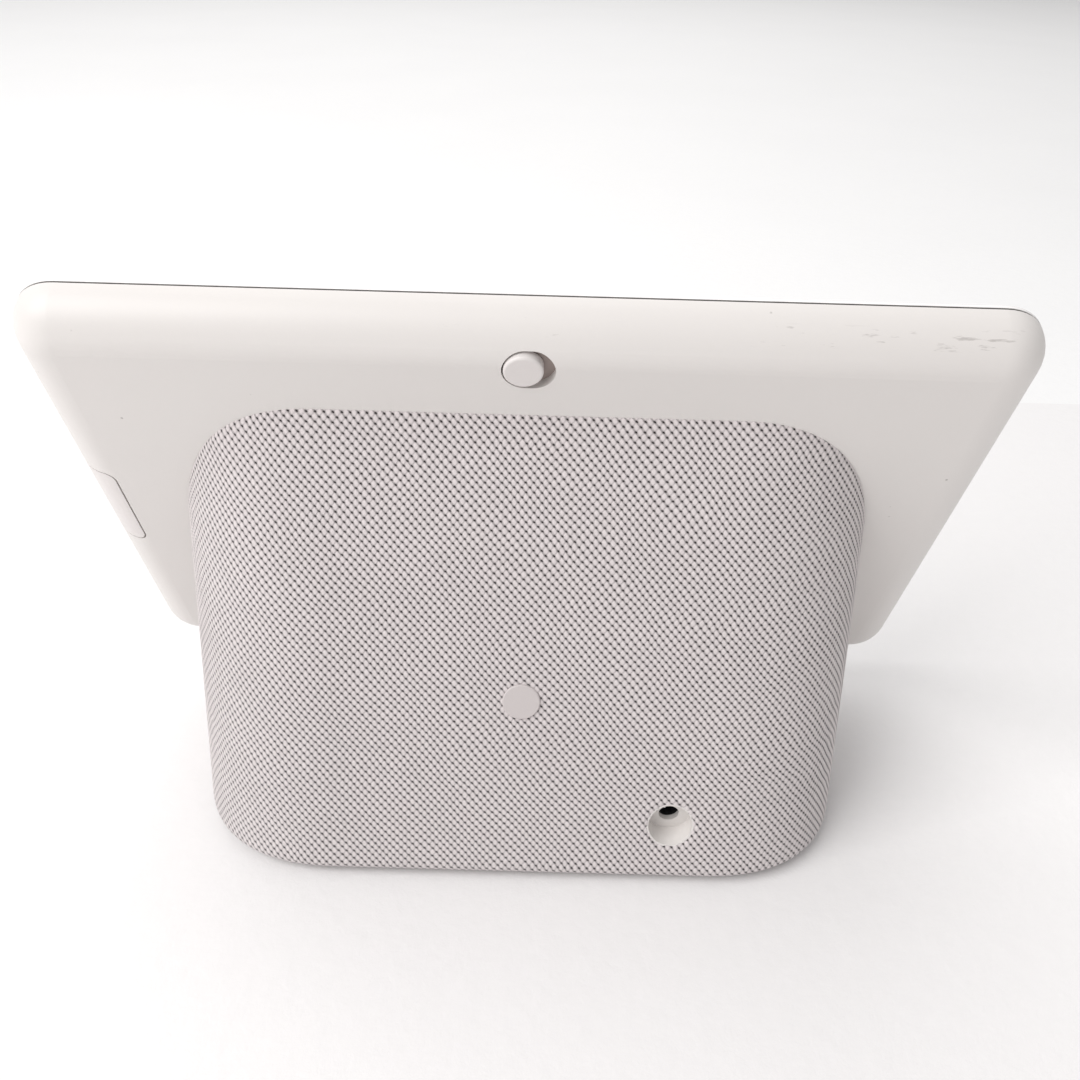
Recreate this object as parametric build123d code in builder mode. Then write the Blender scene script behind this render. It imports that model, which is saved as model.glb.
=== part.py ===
from build123d import *

import math
import os

# Smart display: a tilted touch screen fixed to a fabric-covered loudspeaker base.
# Millimetres.  X runs to the right of somebody facing the screen, Y to the back
# and Z up.  The origin is on the floor, in the middle of the object's box.

# ---------------------------------------------------------------- driving sizes
WIDTH = 178.5  # head, side to side
DEPTH = 67.3  # lower screen edge to the back of the base
HEIGHT = 117.5  # floor to the top edge of the screen
TILT = math.radians(21.0)  # the screen leans back from upright by this much
LEAN = math.radians(16.2)  # the back of the base leans forward by this much

HEAD_T = 10.3  # head thickness
HEAD_R = 9.2  # corner radius of the head outline
HEAD_LOW = 18.4  # floor to the lower front edge of the glass
REAR_R = 8.4  # rounding round the back of the head
WALL = 1.8  # wall of the rear cover
GLASS_T = 1.1
GLASS_EDGE = 0.8  # rounding of the glass's front edge
SEAM = 0.4  # dark line between glass and rear cover
GASKET_INSET = 0.15

BASE_W = 141.6
BASE_FRONT = -15.7  # front wall of the base at floor level
BASE_REAR_CORNER = 31.8
BASE_FRONT_CORNER = 17.0
CORNER_PULL = 0.64  # handle length of the corner curves; 0.55 is a circle
FABRIC_T = 1.2
SHELL_T = 2.2
FOOT_T = 1.2
BOTTOM_R = 2.6  # rounding where the fabric turns under the base
FOOT_INSET = 3.4
PLATE_INSET = 6.5
PLATE_T = 2.6
PLATE_GAP = 0.15  # round the bottom plate

MUTE_FROM_TOP = 8.9  # top edge of the head to the middle of the slot
SLOT_L = 9.4
SLOT_H = 8.0
KNOB_D = 7.0
MUTE_TRAVEL = 1.8

ROCKER_X = 81.1  # inner edge of the volume key's window
ROCKER_TOP = 40.4  # below the head's top edge
ROCKER_L = 22.4
ROCKER_DEPTH = 3.2  # the window starts this far behind the glass face
KEY_GAP = 0.35
KEY_NUB_Y = 7.5

PORT_X = -31.2
PORT_Z = 14.6
PORT_D = 9.8
JACK_RECESS = 4.8
BADGE_Z = 41.1
BADGE_D = 7.5
DRIVER_Z = 44.0

# ------------------------------------------------------------------ derived
SIN_T, COS_T, TAN_T = math.sin(TILT), math.cos(TILT), math.tan(TILT)
SIN_L, COS_L, TAN_L = math.sin(LEAN), math.cos(LEAN), math.tan(LEAN)
FRONT_Y = -DEPTH / 2 - GLASS_EDGE * (COS_T + SIN_T - 1)
HEAD_TOP = HEIGHT + GLASS_EDGE * (SIN_T + COS_T - 1)
HEAD_H = (HEAD_TOP - HEAD_LOW) / COS_T
HEAD_MID_Y = FRONT_Y + HEAD_H / 2 * SIN_T
HEAD_MID_Z = HEAD_LOW + HEAD_H / 2 * COS_T
BASE_BACK = DEPTH / 2 + TAN_L * (FOOT_T + BOTTOM_R) + BOTTOM_R * (1 / COS_L - 1)
COVER_FRONT = GLASS_T + SEAM
COVER_INNER = HEAD_T - WALL
BASE_REACH = 125.0  # slant length that surely passes the head

# ------------------------------------------------------------------ frames
HEAD = Plane(
    origin=(0, HEAD_MID_Y, HEAD_MID_Z), x_dir=(1, 0, 0), z_dir=(0, -COS_T, SIN_T)
)
FORWARD = Axis(HEAD.origin, HEAD.z_dir)
OUTWARD = Vector(0, COS_L, SIN_L)


def behind(depth):
    """Plane parallel to the glass, that far behind its face, facing forward."""
    return HEAD.offset(-depth)


def level(z):
    """Horizontal plane at height z, shifted with the lean of the base."""
    return Plane(origin=(0, -z * TAN_L, z))


def rear_face(z, depth=0.0):
    """Plane on the back of the base at height z, moved in by depth, facing out."""
    surface = Vector(0, BASE_BACK - z * TAN_L, z)
    return Plane(origin=surface - OUTWARD * depth, x_dir=(-1, 0, 0), z_dir=OUTWARD)


def head_slab(inset, front, back, rounding=0.0):
    """Slab with the head's outline, moved in by inset, between two depths."""
    with BuildPart() as slab:
        with BuildSketch(behind(front)):
            RectangleRounded(WIDTH - 2 * inset, HEAD_H - 2 * inset, HEAD_R - inset)
        extrude(amount=front - back)
        if rounding:
            fillet(slab.faces().sort_by(FORWARD)[0].edges(), rounding)
    return slab.part


def base_curve(inset):
    """Closed plan outline of the base, moved in by inset all round."""
    half = BASE_W / 2 - inset
    back = BASE_BACK - inset / COS_L
    front = BASE_FRONT + inset / COS_L
    rear_r = BASE_REAR_CORNER - inset
    front_r = max(BASE_FRONT_CORNER - inset, 4.0)
    rear_x, front_x = half - rear_r, half - front_r
    rear_pull, front_pull = rear_r * CORNER_PULL, front_r * CORNER_PULL
    with BuildLine() as curve:
        Line((-rear_x, back), (rear_x, back))
        Bezier(
            (rear_x, back),
            (rear_x + rear_pull, back),
            (half, back - rear_r + rear_pull),
            (half, back - rear_r),
        )
        Line((half, back - rear_r), (half, front + front_r))
        Bezier(
            (half, front + front_r),
            (half, front + front_r - front_pull),
            (front_x + front_pull, front),
            (front_x, front),
        )
        Line((front_x, front), (-front_x, front))
        Bezier(
            (-front_x, front),
            (-front_x - front_pull, front),
            (-half, front + front_r - front_pull),
            (-half, front + front_r),
        )
        Line((-half, front + front_r), (-half, back - rear_r))
        Bezier(
            (-half, back - rear_r),
            (-half, back - rear_r + rear_pull),
            (-rear_x - rear_pull, back),
            (-rear_x, back),
        )
    return curve.line


def base_block(inset, low, rounding=0.0, reach=BASE_REACH):
    """Leaning block with the base's outline, from height low up the slant."""
    with BuildPart() as block:
        with BuildSketch(level(low)):
            with BuildLine():
                add(base_curve(inset))
            make_face()
        extrude(amount=reach, dir=(0, -TAN_L, 1))
        if rounding:
            fillet(block.faces().sort_by(Axis.Z)[0].edges(), rounding)
    return block.part


def finish(name, piece):
    """Label a finished piece and write it to its own file."""
    piece.label = name
    export_step(piece, f"parts/{name}.step")


os.makedirs("parts", exist_ok=True)

# ------------------------------------------------------------ screen side
MIC_X = 35.0
MIC_Y = 48.4
SOUND_HOLE_R = 0.55
SEAL_R = 1.4
MIC_HOLE_D = 1.0
CELL_W, CELL_H, CELL_T = 161.0, 92.0, 1.2
TRAY_W, TRAY_H, TRAY_T = 162.0, 93.0, 1.8
TRAY_WALL = 0.25
POCKET_W, POCKET_H = 162.6, 93.4
CELL_BACK = GLASS_T + CELL_T
TRAY_BACK = CELL_BACK + TRAY_T
FRAME_FRONT = 1.9
FRAME_BACK = 4.9
FRAME_INSET = WALL + 1.1
FRAME_SCREW = (83.8, 38.0)
CABLE_SLOT_Y = -43.0


def front_glass():
    """Cover glass with its rounded front edge and the two microphone holes."""
    with BuildPart() as glass:
        add(head_slab(0.0, 0.0, GLASS_T))
        fillet(glass.faces().sort_by(FORWARD)[-1].edges(), GLASS_EDGE)
        with BuildSketch(behind(0)):
            with Locations((-MIC_X, MIC_Y), (MIC_X, MIC_Y)):
                Circle(MIC_HOLE_D / 2)
        extrude(amount=-GLASS_T, mode=Mode.SUBTRACT)
    finish("front_glass", glass.part)


def display_gasket():
    """Black adhesive ring that shows as a thin dark line round the glass."""
    with BuildPart() as ring:
        add(head_slab(GASKET_INSET, GLASS_T, COVER_FRONT))
        with BuildSketch(behind(GLASS_T)):
            RectangleRounded(POCKET_W, POCKET_H, 0.2)
            with Locations((-MIC_X, MIC_Y), (MIC_X, MIC_Y)):
                Circle(SOUND_HOLE_R + 0.05)
            with Locations((0, MIC_Y)):
                Circle(SEAL_R)
        extrude(amount=-SEAM, mode=Mode.SUBTRACT)
    finish("display_gasket", ring.part)


def lcd_panel():
    """Liquid crystal cell, bonded to the back of the glass."""
    with BuildPart() as cell:
        with BuildSketch(behind(GLASS_T)):
            Rectangle(CELL_W, CELL_H)
        extrude(amount=-CELL_T)
    finish("lcd_panel", cell.part)


def backlight():
    """Light guide and the thin steel tray that holds it."""
    with BuildPart() as guide:
        with BuildSketch(behind(CELL_BACK)):
            Rectangle(TRAY_W - 2 * TRAY_WALL, TRAY_H - 2 * TRAY_WALL)
        extrude(amount=TRAY_WALL - TRAY_T)
    finish("light_guide", guide.part)
    with BuildPart() as tray:
        with BuildSketch(behind(CELL_BACK)):
            Rectangle(TRAY_W, TRAY_H)
        extrude(amount=-TRAY_T)
        with BuildSketch(behind(CELL_BACK)):
            Rectangle(TRAY_W - 2 * TRAY_WALL, TRAY_H - 2 * TRAY_WALL)
        extrude(amount=TRAY_WALL - TRAY_T, mode=Mode.SUBTRACT)
    finish("backlight_tray", tray.part)


def midframe():
    """Cast frame that carries the screen and closes the rear cover."""
    screw_x, screw_y = FRAME_SCREW
    with BuildPart() as frame:
        add(head_slab(FRAME_INSET, FRAME_FRONT, FRAME_BACK))
        with BuildSketch(behind(FRAME_FRONT)):
            RectangleRounded(POCKET_W, POCKET_H, 0.2)
        extrude(amount=FRAME_FRONT - TRAY_BACK, mode=Mode.SUBTRACT)
        with BuildSketch(behind(FRAME_FRONT)):
            with Locations((-MIC_X, MIC_Y), (MIC_X, MIC_Y), (0, MIC_Y)):
                Circle(SEAL_R)
            with Locations((-38, CABLE_SLOT_Y)):
                Rectangle(22, 1.2)
        extrude(amount=FRAME_FRONT - FRAME_BACK, mode=Mode.SUBTRACT)
        with Locations(behind(FRAME_FRONT)):
            with GridLocations(2 * screw_x, 2 * screw_y, 2, 2):
                CounterBoreHole(1.05, 1.95, 1.0)
    finish("midframe", frame.part)
    with BuildPart() as screws:
        with BuildSketch(behind(FRAME_FRONT)):
            with GridLocations(2 * screw_x, 2 * screw_y, 2, 2):
                Circle(1.9)
        extrude(amount=-1.0)
        with BuildSketch(behind(FRAME_FRONT + 1.0)):
            with GridLocations(2 * screw_x, 2 * screw_y, 2, 2):
                Circle(1.0)
        extrude(amount=-4.4)
        with BuildSketch(behind(FRAME_FRONT)):
            with GridLocations(2 * screw_x, 2 * screw_y, 2, 2):
                Rectangle(2.4, 0.5)
                Rectangle(0.5, 2.4)
        extrude(amount=-0.6, mode=Mode.SUBTRACT)
    finish("midframe_screws", screws.part)


# ------------------------------------------------------------ rear cover
MUTE_Y = HEAD_H / 2 - MUTE_FROM_TOP
KEY_Y = HEAD_H / 2 - ROCKER_TOP - ROCKER_L / 2
PIVOT_X = 79.9
PIVOT_D = 1.4
PIVOT_FRONT = 5.5  # front end of the pivot pin
ARM_FRONT = 5.7  # front face of the key's arm and nubs
ARM_T = 1.6
ARM_END = 86.5
NUB_X = 85.9
PIVOT_BOSS_FRONT = 7.6
STAND_BOSS_FRONT = 5.4
BOARD_BOSS_FRONT = 8.2
BOSS_R = 2.5
BOARD_HOLE = (43.0, 24.0)
BOARD_Y = 8.0
STAND_SCREW = (56.0, 16.0)
STAND_Y = -14.0
SLOT_REACH = 3.0  # the slot passes the rounded part of the wall
WINDOW = (22.0, -28.0, 26.0, 8.0)  # cable window: centre x, centre y, width, height


def key_window(gap):
    """Block that outlines the volume key, smaller by gap on every side."""
    length = ROCKER_L - 2 * gap
    reach = 30.0
    front = ROCKER_DEPTH + gap
    with BuildPart() as block:
        with BuildSketch(behind(front)):
            with Locations((ROCKER_X + gap + reach / 2, KEY_Y)):
                RectangleRounded(reach, length, 2.2 - gap)
        extrude(amount=front - HEAD_T - 2.0)
        front_edges = block.faces().sort_by(FORWARD)[-1].edges().filter_by(Axis.X)
        fillet(front_edges, 2.2 - gap)
    return block.part


def cover_shell():
    """Hollow rear shell of the head, without its openings."""
    with BuildPart() as shell:
        add(head_slab(0.0, COVER_FRONT, HEAD_T, REAR_R))
        inner = head_slab(WALL, COVER_FRONT, COVER_INNER, REAR_R - WALL)
        add(inner, mode=Mode.SUBTRACT)
    return shell.part


def rear_cover():
    """Rear cover with bosses, mute slot, volume key window and cable window."""
    window_x, window_y, window_w, window_h = WINDOW
    with BuildPart() as cover:
        add(cover_shell())
        with BuildSketch(behind(FRAME_BACK)):
            with GridLocations(2 * FRAME_SCREW[0], 2 * FRAME_SCREW[1], 2, 2):
                Circle(BOSS_R)
        extrude(amount=FRAME_BACK - HEAD_T + 1.0)
        with BuildSketch(behind(STAND_BOSS_FRONT)):
            with Locations((0, STAND_Y)):
                with GridLocations(2 * STAND_SCREW[0], 2 * STAND_SCREW[1], 2, 2):
                    Circle(2.6)
        extrude(amount=STAND_BOSS_FRONT - HEAD_T + 1.0)
        with BuildSketch(behind(BOARD_BOSS_FRONT)):
            with Locations((0, BOARD_Y)):
                with GridLocations(2 * BOARD_HOLE[0], 2 * BOARD_HOLE[1], 2, 2):
                    Circle(BOSS_R)
        extrude(amount=BOARD_BOSS_FRONT - HEAD_T + 1.0)
        with BuildSketch(behind(PIVOT_BOSS_FRONT)):
            with Locations((PIVOT_X, KEY_Y)):
                Circle(1.19)
        extrude(amount=PIVOT_BOSS_FRONT - HEAD_T + 1.0)
        add(head_slab(0.0, COVER_FRONT, HEAD_T, REAR_R), mode=Mode.INTERSECT)
        with BuildSketch(behind(HEAD_T)):
            with Locations((window_x, window_y)):
                RectangleRounded(window_w, window_h, 2.0)
        extrude(amount=WALL, mode=Mode.SUBTRACT)
        with BuildSketch(behind(HEAD_T)):
            with Locations((0, MUTE_Y)):
                SlotOverall(SLOT_L, SLOT_H)
        extrude(amount=SLOT_REACH, mode=Mode.SUBTRACT)
        with BuildSketch(behind(FRAME_BACK)):
            with GridLocations(2 * FRAME_SCREW[0], 2 * FRAME_SCREW[1], 2, 2):
                Circle(1.0)
        extrude(amount=-3.2, mode=Mode.SUBTRACT)
        with BuildSketch(behind(HEAD_T)):
            with Locations((0, STAND_Y)):
                with GridLocations(2 * STAND_SCREW[0], 2 * STAND_SCREW[1], 2, 2):
                    Circle(1.25)
        extrude(amount=4.4, mode=Mode.SUBTRACT)
        with BuildSketch(behind(BOARD_BOSS_FRONT)):
            with Locations((0, BOARD_Y)):
                with GridLocations(2 * BOARD_HOLE[0], 2 * BOARD_HOLE[1], 2, 2):
                    Circle(0.95)
        extrude(amount=-1.3, mode=Mode.SUBTRACT)
        with BuildSketch(behind(PIVOT_BOSS_FRONT)):
            with Locations((PIVOT_X, KEY_Y)):
                Circle(PIVOT_D / 2)
        extrude(amount=-0.9, mode=Mode.SUBTRACT)
        add(key_window(0.0), mode=Mode.SUBTRACT)
    finish("rear_cover", cover.part)


# ------------------------------------------------------------ volume key
SWITCH_X = 82.7
SWITCH_L = 3.0
SIDE_BOARD_X = 81.2
SIDE_BOARD_T = 0.6
PLUNGER_FRONT = 5.75
PLUNGER_T = 0.9
PLUNGER_L = 1.8
PLUNGER_TIP = 85.0


def volume_key():
    """Wrap-round rocker key: curved shell, pivot arm and two nubs."""
    with BuildPart() as key:
        add(cover_shell())
        add(key_window(KEY_GAP), mode=Mode.INTERSECT)
        with BuildSketch(behind(ARM_FRONT)):
            with Locations(((PIVOT_X + ARM_END) / 2, KEY_Y)):
                Rectangle(ARM_END - PIVOT_X, 2.2)
            with Locations((PIVOT_X - 0.3, KEY_Y)):
                Circle(1.7)
        extrude(amount=-ARM_T)
        with BuildSketch(behind(ARM_FRONT)):
            for side in (-1, 1):
                with Locations((NUB_X, KEY_Y + side * KEY_NUB_Y)):
                    Rectangle(1.6, 1.6)
        extrude(amount=-1.0)
        with BuildSketch(behind(ARM_FRONT)):
            with Locations((PIVOT_X, KEY_Y)):
                Circle(PIVOT_D / 2 + 0.05)
        extrude(amount=-ARM_T, mode=Mode.SUBTRACT)
    finish("volume_rocker", key.part)
    with BuildPart() as pin:
        with BuildSketch(behind(PIVOT_FRONT)):
            with Locations((PIVOT_X, KEY_Y)):
                Circle(PIVOT_D / 2)
        extrude(amount=-3.0)
    finish("rocker_pin", pin.part)


def volume_board():
    """Side board with two push switches and their plungers."""
    with BuildPart() as board:
        with BuildSketch(behind(FRAME_BACK)):
            with Locations((SIDE_BOARD_X, KEY_Y)):
                RectangleRounded(8.6, 25.0, 0.8)
        extrude(amount=-SIDE_BOARD_T)
    finish("volume_board", board.part)
    with BuildPart() as bodies:
        with BuildSketch(behind(FRAME_BACK + SIDE_BOARD_T)):
            for side in (-1, 1):
                with Locations((SWITCH_X, KEY_Y + side * KEY_NUB_Y)):
                    Rectangle(SWITCH_L, 4.2)
        extrude(amount=-1.8)
        with BuildSketch(behind(PLUNGER_FRONT - 0.1)):
            for side in (-1, 1):
                with Locations((SWITCH_X + 0.4, KEY_Y + side * KEY_NUB_Y)):
                    Rectangle(SWITCH_L - 0.8, 1.8)
        extrude(amount=-PLUNGER_T - 0.2, mode=Mode.SUBTRACT)
    finish("volume_switches", bodies.part)
    for side, name in ((1, "volume_up_plunger"), (-1, "volume_down_plunger")):
        with BuildPart() as plunger:
            with BuildSketch(behind(PLUNGER_FRONT)):
                with Locations((PLUNGER_TIP - PLUNGER_L / 2, KEY_Y + side * KEY_NUB_Y)):
                    Rectangle(PLUNGER_L, 1.6)
            extrude(amount=-PLUNGER_T)
        finish(name, plunger.part)


# ------------------------------------------------------------ top board, mute switch
TOP_BOARD_T = 0.8
TOP_BOARD_Y = 45.5
MIC_DROP = 0.8  # the microphone sits this far below its sound hole
TOP_BOARD_BACK = FRAME_BACK + TOP_BOARD_T
SWITCH_BACK = 7.7
SLOT_PLATE_T = 0.5
KNOB_X = MUTE_TRAVEL / 2
KNOB_FRONT = 8.75
KNOB_PROUD = 0.45


def top_board():
    """Sensor board behind the top edge, with microphones and light sensor."""
    with BuildPart() as board:
        with BuildSketch(behind(FRAME_BACK)):
            with Locations((0, TOP_BOARD_Y)):
                RectangleRounded(92, 8.8, 1.0)
            with Locations((0, TOP_BOARD_Y - 2.5)):
                RectangleRounded(18, 10.0, 1.0)
            with Locations((-MIC_X, MIC_Y), (MIC_X, MIC_Y)):
                Circle(SOUND_HOLE_R, mode=Mode.SUBTRACT)
            with Locations((0, MIC_Y)):
                Circle(0.9, mode=Mode.SUBTRACT)
        extrude(amount=-TOP_BOARD_T)
    finish("sensor_board", board.part)
    with BuildPart() as mics:
        with BuildSketch(behind(TOP_BOARD_BACK)):
            with Locations((-MIC_X, MIC_Y - MIC_DROP), (MIC_X, MIC_Y - MIC_DROP)):
                Rectangle(3.6, 2.8)
        extrude(amount=-1.0)
    finish("microphones", mics.part)
    with BuildPart() as gaskets:
        with BuildSketch(behind(COVER_FRONT)):
            with Locations((-MIC_X, MIC_Y), (MIC_X, MIC_Y)):
                Circle(SEAL_R - 0.05)
                Circle(SOUND_HOLE_R, mode=Mode.SUBTRACT)
        extrude(amount=COVER_FRONT - FRAME_BACK)
    finish("microphone_gaskets", gaskets.part)
    with BuildPart() as pipe:
        with BuildSketch(behind(GLASS_T)):
            with Locations((0, MIC_Y)):
                Circle(SEAL_R - 0.1)
        extrude(amount=GLASS_T - FRAME_BACK)
    finish("sensor_light_pipe", pipe.part)
    with BuildPart() as sensor:
        with BuildSketch(behind(TOP_BOARD_BACK)):
            with Locations((0, MIC_Y + 0.1)):
                Rectangle(2.4, 1.6)
        extrude(amount=-0.6)
    finish("light_sensor", sensor.part)


def mute_switch():
    """Slide switch behind the rear cover and the plate that hides it."""
    with BuildPart() as body:
        with BuildSketch(behind(TOP_BOARD_BACK)):
            with Locations((0, MUTE_Y)):
                Rectangle(10.0, 5.6)
        extrude(amount=TOP_BOARD_BACK - SWITCH_BACK)
        with BuildSketch(behind(SWITCH_BACK)):
            with Locations((0, MUTE_Y)):
                Rectangle(4.3, 2.4)
        extrude(amount=1.0, mode=Mode.SUBTRACT)
        with BuildSketch(behind(7.2)):
            with Locations((0, MUTE_Y)):
                Rectangle(5.0, 3.8)
        extrude(amount=1.1, mode=Mode.SUBTRACT)
    finish("mute_switch_body", body.part)
    with BuildPart() as plate:
        with BuildSketch(behind(COVER_INNER)):
            with Locations((0, MUTE_Y)):
                SlotOverall(SLOT_L - 0.1, SLOT_H - 0.1)
            with Locations((0, MUTE_Y + 0.2)):
                Rectangle(14.0, 6.0, align=(Align.CENTER, Align.MAX))
            with Locations((0, MUTE_Y)):
                Rectangle(4.3, 2.6, mode=Mode.SUBTRACT)
        extrude(amount=SLOT_PLATE_T)
    finish("mute_slot_plate", plate.part)


def mute_knob():
    """Round sliding knob with its stem and captive foot."""
    with BuildPart() as knob:
        with BuildSketch(behind(HEAD_T + KNOB_PROUD)):
            with Locations((KNOB_X, MUTE_Y)):
                Circle(KNOB_D / 2)
        extrude(amount=HEAD_T + KNOB_PROUD - KNOB_FRONT)
        fillet(knob.faces().sort_by(FORWARD)[0].edges(), 0.5)
        with BuildSketch(behind(KNOB_FRONT)):
            with Locations((KNOB_X, MUTE_Y)):
                Rectangle(2.0, 2.0)
        extrude(amount=KNOB_FRONT - 6.4)
        with BuildSketch(behind(7.0)):
            with Locations((KNOB_X, MUTE_Y)):
                Rectangle(2.0, 3.3)
        extrude(amount=0.7)
    finish("mute_knob", knob.part)


# ------------------------------------------------------------ main board
BOARD_W, BOARD_H, BOARD_T = 96.0, 56.0, 1.0
BOARD_FRONT = 7.2
SOCKET_FRONT = 5.5  # front face of the display cable's socket
LEAD_SOCKET_FRONT = 5.9  # front face of the leads' socket
RIBBON_T = 0.2
SPREADER_T = 0.4
PAD_T = 0.4
SHIELD_FRONT = FRAME_BACK + SPREADER_T + PAD_T
SHIELD_WALL = 0.3
CHIP_T = 1.1
CHIP_X = 6.0


def main_board():
    """Main circuit board with its screws and cable sockets."""
    hole_x, hole_y = BOARD_HOLE
    with BuildPart() as board:
        with BuildSketch(behind(BOARD_FRONT)):
            with Locations((0, BOARD_Y)):
                RectangleRounded(BOARD_W, BOARD_H, 2.0)
                with GridLocations(2 * hole_x, 2 * hole_y, 2, 2):
                    Circle(1.1, mode=Mode.SUBTRACT)
        extrude(amount=-BOARD_T)
    finish("main_board", board.part)
    with BuildPart() as screws:
        with BuildSketch(behind(BOARD_FRONT - 0.8)):
            with Locations((0, BOARD_Y)):
                with GridLocations(2 * hole_x, 2 * hole_y, 2, 2):
                    Circle(1.8)
        extrude(amount=-0.8)
        with BuildSketch(behind(BOARD_FRONT)):
            with Locations((0, BOARD_Y)):
                with GridLocations(2 * hole_x, 2 * hole_y, 2, 2):
                    Circle(0.95)
        extrude(amount=-2.2)
        with BuildSketch(behind(BOARD_FRONT - 0.8)):
            with Locations((0, BOARD_Y)):
                with GridLocations(2 * hole_x, 2 * hole_y, 2, 2):
                    Rectangle(2.2, 0.45)
                    Rectangle(0.45, 2.2)
        extrude(amount=-0.5, mode=Mode.SUBTRACT)
    finish("main_board_screws", screws.part)
    with BuildPart() as sockets:
        with BuildSketch(behind(SOCKET_FRONT)):
            with Locations((-38, -10)):
                Rectangle(24, 3.4)
        extrude(amount=SOCKET_FRONT - BOARD_FRONT)
        with BuildSketch(behind(LEAD_SOCKET_FRONT)):
            with Locations((32, -15)):
                Rectangle(10, 4.0)
        extrude(amount=LEAD_SOCKET_FRONT - BOARD_FRONT)
    finish("board_sockets", sockets.part)


def processor():
    """Processor under its shield, with the thermal path to the midframe."""
    with BuildPart() as chip:
        with BuildSketch(behind(BOARD_FRONT)):
            with Locations((CHIP_X, BOARD_Y)):
                Rectangle(14, 14)
        extrude(amount=CHIP_T)
    finish("processor", chip.part)
    with BuildPart() as memory:
        with BuildSketch(behind(BOARD_FRONT)):
            with Locations((CHIP_X - 14, BOARD_Y + 7), (CHIP_X - 14, BOARD_Y - 7)):
                Rectangle(9, 11)
        extrude(amount=0.9)
    finish("memory_chips", memory.part)
    with BuildPart() as shield:
        with BuildSketch(behind(SHIELD_FRONT)):
            with Locations((CHIP_X - 5, BOARD_Y)):
                RectangleRounded(42, 36, 1.0)
        extrude(amount=SHIELD_FRONT - BOARD_FRONT)
        with BuildSketch(behind(BOARD_FRONT)):
            with Locations((CHIP_X - 5, BOARD_Y)):
                RectangleRounded(42 - 2 * SHIELD_WALL, 36 - 2 * SHIELD_WALL, 0.7)
        extrude(amount=BOARD_FRONT - SHIELD_FRONT - SHIELD_WALL, mode=Mode.SUBTRACT)
    finish("processor_shield", shield.part)
    with BuildPart() as pad:
        with BuildSketch(behind(FRAME_BACK + SPREADER_T)):
            with Locations((CHIP_X, BOARD_Y)):
                Rectangle(16, 16)
        extrude(amount=-PAD_T)
    finish("thermal_pad", pad.part)
    with BuildPart() as spreader:
        with BuildSketch(behind(FRAME_BACK)):
            with Locations((0, BOARD_Y)):
                RectangleRounded(78, 50, 2.0)
        extrude(amount=-SPREADER_T)
    finish("heat_spreader", spreader.part)


def antennas():
    """Two flat aerials stuck inside the upper corners of the rear cover."""
    for side, name in ((-1, "antenna_left"), (1, "antenna_right")):
        with BuildPart() as antenna:
            with BuildSketch(behind(COVER_INNER)):
                with Locations((side * 62, 38)):
                    RectangleRounded(30, 9, 1.0)
                    with Locations((0, -2.2)):
                        Rectangle(22, 1.4, mode=Mode.SUBTRACT)
            extrude(amount=0.3)
        finish(name, antenna.part)


def display_cable():
    """Flat cable from the backlight tray to its socket on the main board."""
    with BuildPart() as ribbon:
        with BuildSketch(behind(TRAY_BACK)):
            with Locations((-38, CABLE_SLOT_Y)):
                Rectangle(20, 0.2)
        extrude(amount=TRAY_BACK - SOCKET_FRONT)
        with BuildSketch(behind(SOCKET_FRONT - RIBBON_T)):
            with Locations((-38, CABLE_SLOT_Y - 0.1)):
                Rectangle(20, 34.7, align=(Align.CENTER, Align.MIN))
        extrude(amount=-0.2)
    finish("display_cable", ribbon.part)


# ------------------------------------------------------------ stand
BRACKET_T = 1.2
EAR_T = 2.0
BRACKET_BACK = HEAD_T + BRACKET_T
EAR_BACK = BRACKET_BACK + EAR_T


def stand_bracket():
    """Steel plate that ties the head to the base, with its screws."""
    window_x, window_y, window_w, window_h = WINDOW
    with BuildPart() as bracket:
        with BuildSketch(behind(HEAD_T)):
            with Locations((0, STAND_Y)):
                RectangleRounded(122, 42, 4.0)
            with Locations((window_x, window_y)):
                RectangleRounded(window_w + 4, window_h + 3, 2.5, mode=Mode.SUBTRACT)
            with Locations((0, STAND_Y)):
                with GridLocations(2 * STAND_SCREW[0], 2 * STAND_SCREW[1], 2, 2):
                    Circle(1.4, mode=Mode.SUBTRACT)
            with Locations((-42, STAND_Y), (42, STAND_Y)):
                SlotOverall(16, 6, mode=Mode.SUBTRACT)
        extrude(amount=-BRACKET_T)
    finish("stand_bracket", bracket.part)
    with BuildPart() as screws:
        with BuildSketch(behind(EAR_BACK)):
            with Locations((0, STAND_Y)):
                with GridLocations(2 * STAND_SCREW[0], 2 * STAND_SCREW[1], 2, 2):
                    Circle(2.3)
        extrude(amount=-1.6)
        with BuildSketch(behind(EAR_BACK)):
            with Locations((0, STAND_Y)):
                with GridLocations(2 * STAND_SCREW[0], 2 * STAND_SCREW[1], 2, 2):
                    Circle(1.25)
        extrude(amount=EAR_BACK - 6.1)
        with BuildSketch(behind(EAR_BACK + 1.6)):
            with Locations((0, STAND_Y)):
                with GridLocations(2 * STAND_SCREW[0], 2 * STAND_SCREW[1], 2, 2):
                    Rectangle(2.8, 0.6)
                    Rectangle(0.6, 2.8)
        extrude(amount=0.9, mode=Mode.SUBTRACT)
    finish("stand_screws", screws.part)


# ------------------------------------------------------------ base housing
SHELL_LOW = FOOT_T + FABRIC_T
SHELL_INSET = FABRIC_T + SHELL_T
BACK_AT_PORT = BASE_BACK - PORT_Z * TAN_L
PORT = Plane(origin=(PORT_X, BACK_AT_PORT, PORT_Z), x_dir=(-1, 0, 0), z_dir=(0, 1, 0))
GRILLE_RINGS = ((6.5, 8), (10.5, 14), (14.5, 20))
BASE_SCREW = (48.0, 12.0)
BASE_SCREW_Y = 11.0


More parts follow.
